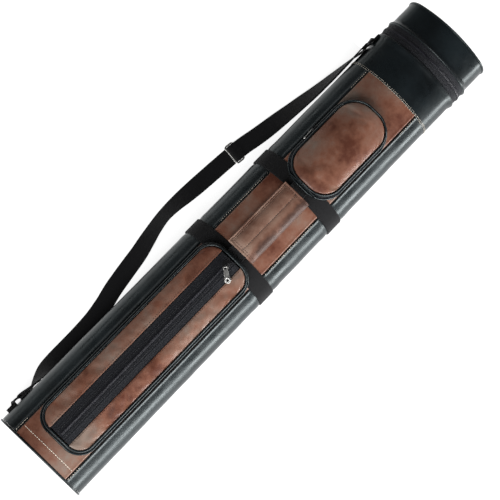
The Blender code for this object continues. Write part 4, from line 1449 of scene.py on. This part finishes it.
def padded_panel(name, sizes, ys, puff, grow, node, body, seed):
    """A stuffed panel cut to a pocket's outline, its edges held and its middle swollen by cloth."""
    x0, x1, half_width, radius = sizes
    edge, corner = half_width - PANEL_INSET, radius - PANEL_INSET
    rows, columns = len(ys), round((x1 - x0) / 0.0034) + 1
    last = columns - 1
    vertices, held = [], []
    for is_back in (False, True):
        for j, y in enumerate(ys):
            cut = PANEL_INSET + corner_inset(y, edge, corner)
            for i in range(columns):
                t = 0.5 - 0.5 * cos(pi * i / last) * (0.75 + 0.25 * abs(2 * i / last - 1) ** 2)
                x = x0 + cut + (x1 - x0 - 2 * cut) * t
                from_edge = min(x - x0 - cut, x1 - cut - x, y - ys[0], ys[-1] - y)
                rise = 1 - (1 - min(from_edge / PAD_ROLL, 1.0)) ** 2.5
                stuffed = puff * rise + 0.0003 * rise * ripple(x, y, 34, seed)
                vertices.append(on_crown(x, y, FACE_TOP + (-0.0012 if is_back else stuffed)))
                held.append(is_back or i in (0, last) or j in (0, rows - 1))
    per_layer = rows * columns
    top = grid_faces(rows, columns, flip=True)
    bottom = [tuple(per_layer + k for k in face[::-1]) for face in top]
    border = border_of(rows, columns)
    sides = [(a, b, per_layer + b, per_layer + a) for a, b in zip(border, border[1:] + border[:1])]
    obj = piece(name, vertices, top + bottom + sides, "brown_vinyl", None, [node], smooth=80)
    swell(obj, held, grow, puff * 2.2)
    applied(rounded(obj))
    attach(obj, body)
    return obj


def swell(obj, held, grow, limit):
    """Cloth under pressure from inside, held at its edge and back, then kept within a limit."""
    rest = [v.co.copy() for v in obj.data.vertices]
    group = obj.vertex_groups.new(name="held")
    group.add([i for i, fixed in enumerate(held) if fixed], 1.0, "REPLACE")
    cloth = obj.modifiers.new("cloth", "CLOTH")
    cloth.settings.vertex_group_mass = "held"
    cloth.settings.quality = 6
    cloth.settings.mass = 0.25
    cloth.settings.tension_stiffness = 25
    cloth.settings.compression_stiffness = 25
    cloth.settings.bending_stiffness = 0.6
    cloth.settings.shrink_min = -grow
    cloth.settings.use_pressure = True
    cloth.settings.uniform_pressure_force = 2.0
    cloth.settings.effector_weights.gravity = 0
    cloth.collision_settings.use_collision = False
    for number in range(1, 21):
        bpy.context.scene.frame_set(number)
    applied(obj)
    for vertex, start in zip(obj.data.vertices, rest):
        move = vertex.co - start
        if move.length > limit:
            vertex.co = start + move.normalized() * limit
    bpy.context.scene.frame_set(1)


# ---------------------------------------------------------------- long pocket
LONG_TAPE_HEIGHT = POCKET_HEIGHT + GAP + 0.0010
PANEL_STITCH_Y = SLOT + 0.0021
# How far from the coil the tape's raised cords and its rows of stitches run.
TAPE_CORDS = (0.0036, 0.0054, 0.0088)
TAPE_STITCH_Y = 0.0060


def long_panels():
    """The panels on the two sides of the zip, each with a row of stitches along it."""
    x0, x1, half_width, radius = LONG
    ys = edge_spread(half_width - PANEL_INSET, radius - PANEL_INSET, SLOT, 0.0030)
    mirrored = [-y for y in reversed(ys)]
    panels = {}
    for side, rows, seed in (("left", ys, 1.0), ("right", mirrored, 6.0)):
        name, node = "long_panel_" + side, "long_pocket_panel_" + side
        panels[side] = padded_panel(name, LONG, rows, 0.0012, 0.010, node, "case_body", seed)
    for side, y in (("left", PANEL_STITCH_Y), ("right", -PANEL_STITCH_Y)):
        row = on_panel(panels[side], [(x, y) for x in spread(x0 + 0.0075, x1 - 0.0075, 0.003)])
        stitches("long_panel_stitches_" + side, [row], "brown_thread", PANEL_THREAD)


def long_zip():
    """Both halves of the zip's tape lying over the crown, raised cords on it, and the coil."""
    x0, x1 = LONG[:2]
    half = SLOT + 0.0012

    def corner(x, y):
        ridge = sum(0.00040 * hump(abs(y), place, 0.0006) for place in TAPE_CORDS)
        sag = -0.0008 * ease((abs(y) - half + 0.0026) / 0.0012) + 0.0001 * ripple(x, y, 40, 4.0)
        return on_crown(x, y, LONG_TAPE_HEIGHT - 0.0002 + ridge + sag)

    inset = PANEL_INSET + 0.0012
    xs = spread(x0 + inset, x1 - inset, 0.0022)
    ys = spread(-half, half, 0.0006)
    tape = grid("long_zip_tape_woven", xs, ys, corner, "zip_tape", replaces=["long_zip_tape"])
    solidify(tape, 0.0008)
    coil_z = CROWN_Z + LONG_TAPE_HEIGHT + 0.0004
    path = Path([Vector((x, 0.0, coil_z)) for x in spread(x0 + 0.0075, x1 - 0.0080, 0.003)], UP)
    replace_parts(teeth("long_zip_coil_left", path, 1, LONG_COIL), "long_zip_coil")
    teeth("long_zip_coil_right", path, -1, LONG_COIL)
    xs = spread(x0 + 0.006, x1 - 0.006, 0.003)
    height = LONG_TAPE_HEIGHT + 0.0001
    rows = [Path([on_crown(x, y, height) for x in xs], UP) for y in (-TAPE_STITCH_Y, TAPE_STITCH_Y)]
    stitches("long_zip_stitches", rows, "black_thread", LONG_ZIP_THREAD)


def long_slider():
    end_x = LONG[1]
    slider_z = low("long_zip_slider").z
    foot = (end_x - 0.0145, 0, slider_z)
    zip_slider("long_zip_slider", foot, (1, 0, 0), UP, (0.0125, 0.0085, 0.0030), "long_slider")
    lean = Vector((-0.57, -0.80, -0.115)).normalized()
    normal = lean.cross(UP).cross(lean)
    pivot = (end_x - 0.0175, -0.0010, slider_z + 0.0042)
    size = (0.0225, 0.0092, 0.0014)
    zip_pull("long_zip_pull", pivot, lean, normal, size, "silver_metal", "long_pull")


# ---------------------------------------------------------------- small pocket
SPLIT_GAP = 0.0003
BELOW_SPLIT, ABOVE_SPLIT = SMALL_SPLIT - SPLIT_GAP, SMALL_SPLIT + SPLIT_GAP
SMALL_TAPE = 0.0014
SMALL_SLIDER_X = 0.1640
COVER_HINGE_HALF = 0.024


def small_cover():
    """The part that lifts: its wall, its padded face and the piping between them."""
    body, node = "small_cover", "small_cover_gusset"
    lean = (0.0, -FACE_DRAW)
    gusset("small_cover_wall", SMALL, lambda x: ABOVE_SPLIT, POCKET_HEIGHT, node, 0.0003, lean, body)
    face_cord("small_cover_cord", SMALL, "small_cover_piping", body)
    _, _, half_width, radius = SMALL
    ys = both_sides(edge_spread(half_width - PANEL_INSET, radius - PANEL_INSET, 0.0, 0.0034))
    padded_panel("small_cover_pad", SMALL, ys, 0.0024, 0.008, "small_cover_face", body, 11.0)


def open_ring():
    """The small pocket's outline without its hinge end."""
    ring = [p for p in pocket_ring(SMALL, 0.0, 0.002) if p[0] > SMALL[0] + 0.004]
    jumps = [(Vector(b[:2]) - Vector(a[:2])).length > 0.02 for a, b in zip([ring[-1], *ring], ring)]
    start = jumps.index(True)
    return ring[start:] + ring[:start]


def side_tape(name, ring, low_height, body):
    """Half of the small pocket's zip tape, standing on its wall."""
    levels = (0.0, 0.5, 1.0)
    vertices, uvs = [], []
    for t in levels:
        for k, (x, y, out_x, out_y) in enumerate(ring):
            wall = on_crown(x, y, low_height + SMALL_TAPE * t)
            vertices.append(wall + Vector((out_x, out_y, 0)) * 0.0005)
            uvs.append((k * 0.002, t * 0.002))
    faces = grid_faces(len(levels), len(ring), flip=True)
    return solidify(piece(name, vertices, faces, "zip_tape", body, uvs=uvs), 0.0005)


def small_zip():
    ring = open_ring()
    side_tape("small_zip_tape_low", ring, BELOW_SPLIT - SMALL_TAPE, "case_body")
    side_tape("small_zip_tape_high", ring, ABOVE_SPLIT, "small_cover")
    outs = [Vector((out_x, out_y, 0)) for _, _, out_x, out_y in ring]
    line = [on_crown(x, y, SMALL_SPLIT) + out * 0.0009 for (x, y, _, _), out in zip(ring, outs)]
    teeth("small_zip_teeth_low", Path(line, outs), -1, SMALL_COIL)
    teeth("small_zip_teeth_high", Path(line, outs), 1, SMALL_COIL, "small_cover")


def small_slider():
    size = (0.0110, 0.0070, 0.0026)
    foot = on_crown(SMALL_SLIDER_X, SMALL[2] + 0.0003, SMALL_SPLIT)
    zip_slider("small_zip_slider", foot, (1, 0, 0), (0, 1, 0), size, "small_slider")
    lean = Vector((-1.0, -0.06, 0.0))
    pivot = foot + Vector((-0.0030, size[2] + 0.0010, 0))
    size = (0.0185, 0.0052, 0.0012)
    zip_pull("small_zip_pull", pivot, lean, (lean.y, -lean.x, 0), size, "silver_metal", "small_pull")


def small_lining():
    """The pocket's floor of lining."""
    x0, x1, half_width, radius = SMALL
    edge, corner = half_width - LINING_INSET, radius - LINING_INSET
    ys = both_sides(edge_spread(edge, corner, 0.0, 0.004))
    columns = 34
    vertices = []
    for y in ys:
        cut = LINING_INSET + corner_inset(y, edge, corner)
        for i in range(columns + 1):
            x = x0 + cut + (x1 - x0 - 2 * cut) * i / columns
            lift = 0.0004 + 0.0003 * ripple(x, y, 60, 9.0)
            vertices.append(on_crown(x, y, foot_height(x) + lift))
    uvs = [(v.x, v.y) for v in vertices]
    faces = grid_faces(len(ys), columns + 1, flip=True)
    solidify(piece("small_pocket_lining", vertices, faces, "lining", uvs=uvs), 0.0005)


def small_hinge():
    """The vinyl that joins the cover to the wall."""
    x0 = SMALL[0]

    def corner(t, y):
        return on_crown(x0 + 0.0002 - 0.0012 * sin(pi * t), y, 0.0040 + 0.0070 * t)

    ys = spread(-COVER_HINGE_HALF, COVER_HINGE_HALF, 0.003)
    patch = grid("small_cover_hinge_vinyl", spread(0, 1, 0.1), ys, corner, "black_vinyl", None)
    applied(solidify(patch, 0.0005))
    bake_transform(patch)


# ---------------------------------------------------------------- handle
HANDLE_START, HANDLE_END = low("handle_wrap").x, high("handle_wrap").x
HANDLE_LEFT, HANDLE_RIGHT = high("handle_wrap").y, low("handle_wrap").y
HANDLE_Z = (low("handle_wrap").z + high("handle_wrap").z) / 2
HANDLE_GROOVES = (HANDLE_LEFT - 0.0028, HANDLE_LEFT - 0.0052)
HANDLE_END_GROOVES = (0.0034, 0.0060)
# The grip across: y, how far it lifts or droops, and half its thickness.
HANDLE_STATIONS = (
    (HANDLE_LEFT, 0.0, 0.0008),
    (HANDLE_LEFT - 0.0008, 0.0, 0.0017),
    (HANDLE_LEFT - 0.0019, 0.0, 0.0015),
    (HANDLE_GROOVES[0], 0.0, 0.0007),
    (HANDLE_LEFT - 0.0040, 0.0001, 0.0017),
    (HANDLE_GROOVES[1], 0.0001, 0.0008),
    (HANDLE_LEFT - 0.0070, 0.0001, 0.0021),
    (0.0110, 0.0003, 0.0027),
    (0.0070, 0.0004, 0.0032),
    (0.0020, 0.0004, 0.0033),
    (-0.0018, 0.0003, 0.0031),
    (-0.0025, 0.0003, 0.0028),
    (-0.0032, 0.0003, 0.0031),
    (-0.0080, 0.0000, 0.0035),
    (-0.0130, -0.0009, 0.0037),
    (-0.0180, -0.0022, 0.0035),
    (-0.0215, -0.0036, 0.0029),
    (HANDLE_RIGHT + 0.0010, -0.0048, 0.0018),
    (HANDLE_RIGHT, -0.0054, 0.0007),
)
HANDLE_SECTION = curve_through(HANDLE_STATIONS, 2)
HANDLE_ENDS = (0.0, 0.0003, 0.0010, 0.0020, 0.0034, 0.0046)


def handle_outline(x):
    """The padded grip's section (y, z): a flat stitched edge on the left, a soft roll on the right."""
    swell = 0.45 + 0.55 * end_ease(x, HANDLE_START, HANDLE_END, 0.016)
    arch = 0.0008 * end_ease(x, HANDLE_START, HANDLE_END, 0.050)
    upper, lower = [], []
    for y, lift, half in HANDLE_SECTION:
        thick = half * (swell if half > 0.0014 else 1.0) + 0.00025 * ripple(x, y, 70, 3.0) * swell
        upper.append((y, HANDLE_Z + lift + arch + thick))
        lower.append((y, HANDLE_Z + lift + arch - min(thick, 0.0022)))
    return upper + lower[::-1]


def handle_grip():
    xs = [HANDLE_START + d for d in HANDLE_ENDS]
    xs += spread(HANDLE_START + 0.007, HANDLE_END - 0.007, 0.0025)
    xs += [HANDLE_END - d for d in reversed(HANDLE_ENDS)]
    outer, inner = HANDLE_END_GROOVES
    vertices = []
    for x in xs:
        inside = min(x - HANDLE_START, HANDLE_END - x)
        squeeze = 1 - 0.55 * (1 - ease(inside / 0.0010))
        squeeze -= 0.42 * hump(inside, outer, 0.0010) + 0.30 * hump(inside, inner, 0.0012)
        outline = handle_outline(x)
        middle = sum(z for _, z in outline) / len(outline)
        vertices += [Vector((x, y, middle + (z - middle) * squeeze)) for y, z in outline]
    count = 2 * len(HANDLE_SECTION)
    faces = grid_faces(len(xs), count, closed_columns=True, flip=True) + end_faces(len(xs), count)
    nodes = ["handle_wrap", "handle_webbing"]
    grip = piece("handle_grip", vertices, faces, "handle_vinyl", None, nodes, smooth=70)
    applied(rounded(grip))
    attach(grip, "handle")
    return grip


def handle_stitches(grip):
    along = spread(HANDLE_START + 0.003, HANDLE_END - 0.003, 0.003)
    across = spread(-0.0215, 0.0190, 0.003)
    ends = [HANDLE_START + d for d in HANDLE_END_GROOVES] + [HANDLE_END - d for d in HANDLE_END_GROOVES]
    edge_rows = [[(x, y) for x in along] for y in HANDLE_GROOVES]
    middle_row = [(x, -0.0025) for x in along]
    end_rows = [[(x, y) for y in across] for x in ends]
    kinds = (("edge", edge_rows, "brown"), ("middle", [middle_row], "black"), ("end", end_rows, "brown"))
    for kind, rows, colour in kinds:
        paths = [on_panel(grip, row) for row in rows]
        stitches(f"handle_{kind}_stitches", paths, colour + "_thread", HANDLE_THREAD, "handle")


def handle_tab(name, end_x, away, node):
    """Webbing that comes out of the grip's end and goes down under the band."""
    foot_z = CROWN_Z + BAND_TOP + GAP + 0.0008
    stations = (
        (-0.0060, HANDLE_Z),
        (-0.0010, HANDLE_Z - 0.0002),
        (0.0016, HANDLE_Z - 0.0014),
        (0.0040, (HANDLE_Z + foot_z) / 2 - 0.0004),
        (0.0062, foot_z + 0.0004),
        (0.0085, foot_z),
    )
    points = [Vector((end_x + away * u, 0, z)) for u, z in curve_through(stations, 4)]
    tab = ribbon(name, points, UP, None, [node], 0.0015)
    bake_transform(tab)


# ---------------------------------------------------------------- inside
COLLAR_BEVEL = 0.00012
CUE_TUBES = sorted(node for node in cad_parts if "_tube_" in node)
TUBE_SIDES = 56
# The hidden inner nodes that keep their CAD shape, by finish.
CARRIED_OVER = {
    "shell_board": ("body_shell", "lid_shell"),
    "foam": ("base_foam", "butt_pad_left", "butt_pad_right"),
}


def node_centre(node):
    return (low(node).y + high(node).y) / 2, (low(node).z + high(node).z) / 2


def circle_round(centre, radius):
    return [(centre[0] + a, centre[1] + b) for a, b in circle(radius, TUBE_SIDES)]


def cue_tube(node):
    """A thin tube with a rolled lip at its mouth."""
    first, last = low(node).x, high(node).x
    outer = (high(node).y - low(node).y) / 2
    inner = outer - (0.0014 if "butt" in node else 0.0013)
    half, middle = (outer - inner) / 2, (outer + inner) / 2
    lip = [(last - half + half * cos(t), middle - half * sin(t)) for t in spread(-pi / 2, pi / 2, 0.4)]
    bore = [(x, inner) for x in spread(last - 0.004, first + 0.01, 0.06)]
    profile = [(first, inner), (first, outer), *lip, *bore]
    centre = node_centre(node)
    vertices = [Vector((x, y, z)) for x, radius in profile for y, z in circle_round(centre, radius)]
    faces = grid_faces(len(profile), TUBE_SIDES, closed_rows=True, closed_columns=True, flip=True)
    name = node + "_moulded"
    return piece(name, vertices, faces, "tube_plastic", "case_body", [node], smooth=50)


def collar():
    """The foam block that holds the tubes at the mouth."""
    first, last = low("tube_collar").x, high("tube_collar").x
    rim = [on_case(0, s, -0.0027) for s in round_lines(150)]
    outlines = [[(p.y, p.z) for p in rim]]
    for node in CUE_TUBES:
        radius = (high(node).y - low(node).y) / 2 + GAP
        outlines.append(circle_round(node_centre(node), radius))
    block = filled(outlines, last - first, COLLAR_BEVEL, 2)
    whole = stood(block, ((first + last) / 2, 0, 0), (0, 1, 0), (1, 0, 0))
    return piece("tube_collar_foam", *whole, "foam", "case_body", ["tube_collar"], smooth=40)


def lid_inside():
    """The lid's glued-in lining and the pad at its end."""

    def lining(x, s):
        return -0.0029 + 0.00035 * ripple(x, s, 60, 5.0)

    xs = spread(low("lid_liner").x, high("lid_liner").x, 0.0025)
    solidify(ring_grid("lid_lining", xs, lining, "lining", "lid", ["lid_liner"]), 0.0006)
    pad_x = low("lid_foam_pad").x
    end_cap("lid_pad", pad_x, -1, "foam", "lid", "lid_foam_pad", inset=0.0030, puff=-0.0010, seed=4.0)


def carried_over():
    """The hidden inner pieces keep their CAD shape and get a finish."""
    for finish, nodes in CARRIED_OVER.items():
        for node in nodes:
            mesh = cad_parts[node].data
            mesh.materials.clear()
            mesh.materials.append(FINISHES[finish])


# ---------------------------------------------------------------- the case in its studio
def shell():
    front_panel()
    side_wrap()
    yoke()
    body_stitches()
    end_piping("base_piping_cord", BODY_X - GAP - PIPE, "case_body", "base_piping")
    end_piping("lid_piping_cord", LID_END_X + GAP + PIPE, "lid", "lid_piping")
    end_cap("base_cap_skin", low("base_cap").x, -1, "black_vinyl", "case_body", "base_cap")
    end_cap("lid_cap_skin", high("lid_cap").x, 1, "black_vinyl", "lid", "lid_cap")
    for name in BANDS:
        band(name)


def lid():
    lid_skin()
    lid_zip()
    lid_hinge()
    lid_slider()
    mouth_binding("mouth_binding_on_body", BODY_EDGE - 0.0004, "case_body")
    mouth_binding("mouth_binding_on_lid", LID_EDGE + 0.0004, "lid")


def build():
    tri_glide()
    strap()
    for place in ("top", "bottom"):
        d_ring(place)
        ring_tab(place)
    shell()
    lid()
    pocket_foot("long_pocket", LONG, POCKET_HEIGHT, 0.0009, -FACE_DRAW)
    face_cord("long_pocket_face_cord", LONG, "long_pocket_face_piping", "case_body")
    long_panels()
    long_zip()
    long_slider()
    pocket_foot("small_pocket", SMALL, BELOW_SPLIT, 0.0005, 0.0)
    small_cover()
    small_zip()
    small_slider()
    small_lining()
    small_hinge()
    handle_stitches(handle_grip())
    handle_tab("handle_tab_low_webbing", HANDLE_START, -1, "handle_tab_lower")
    handle_tab("handle_tab_high_webbing", HANDLE_END, 1, "handle_tab_upper")
    for node in CUE_TUBES:
        cue_tube(node)
    collar()
    lid_inside()
    carried_over()


all_finishes()
camera()
studio()
build()
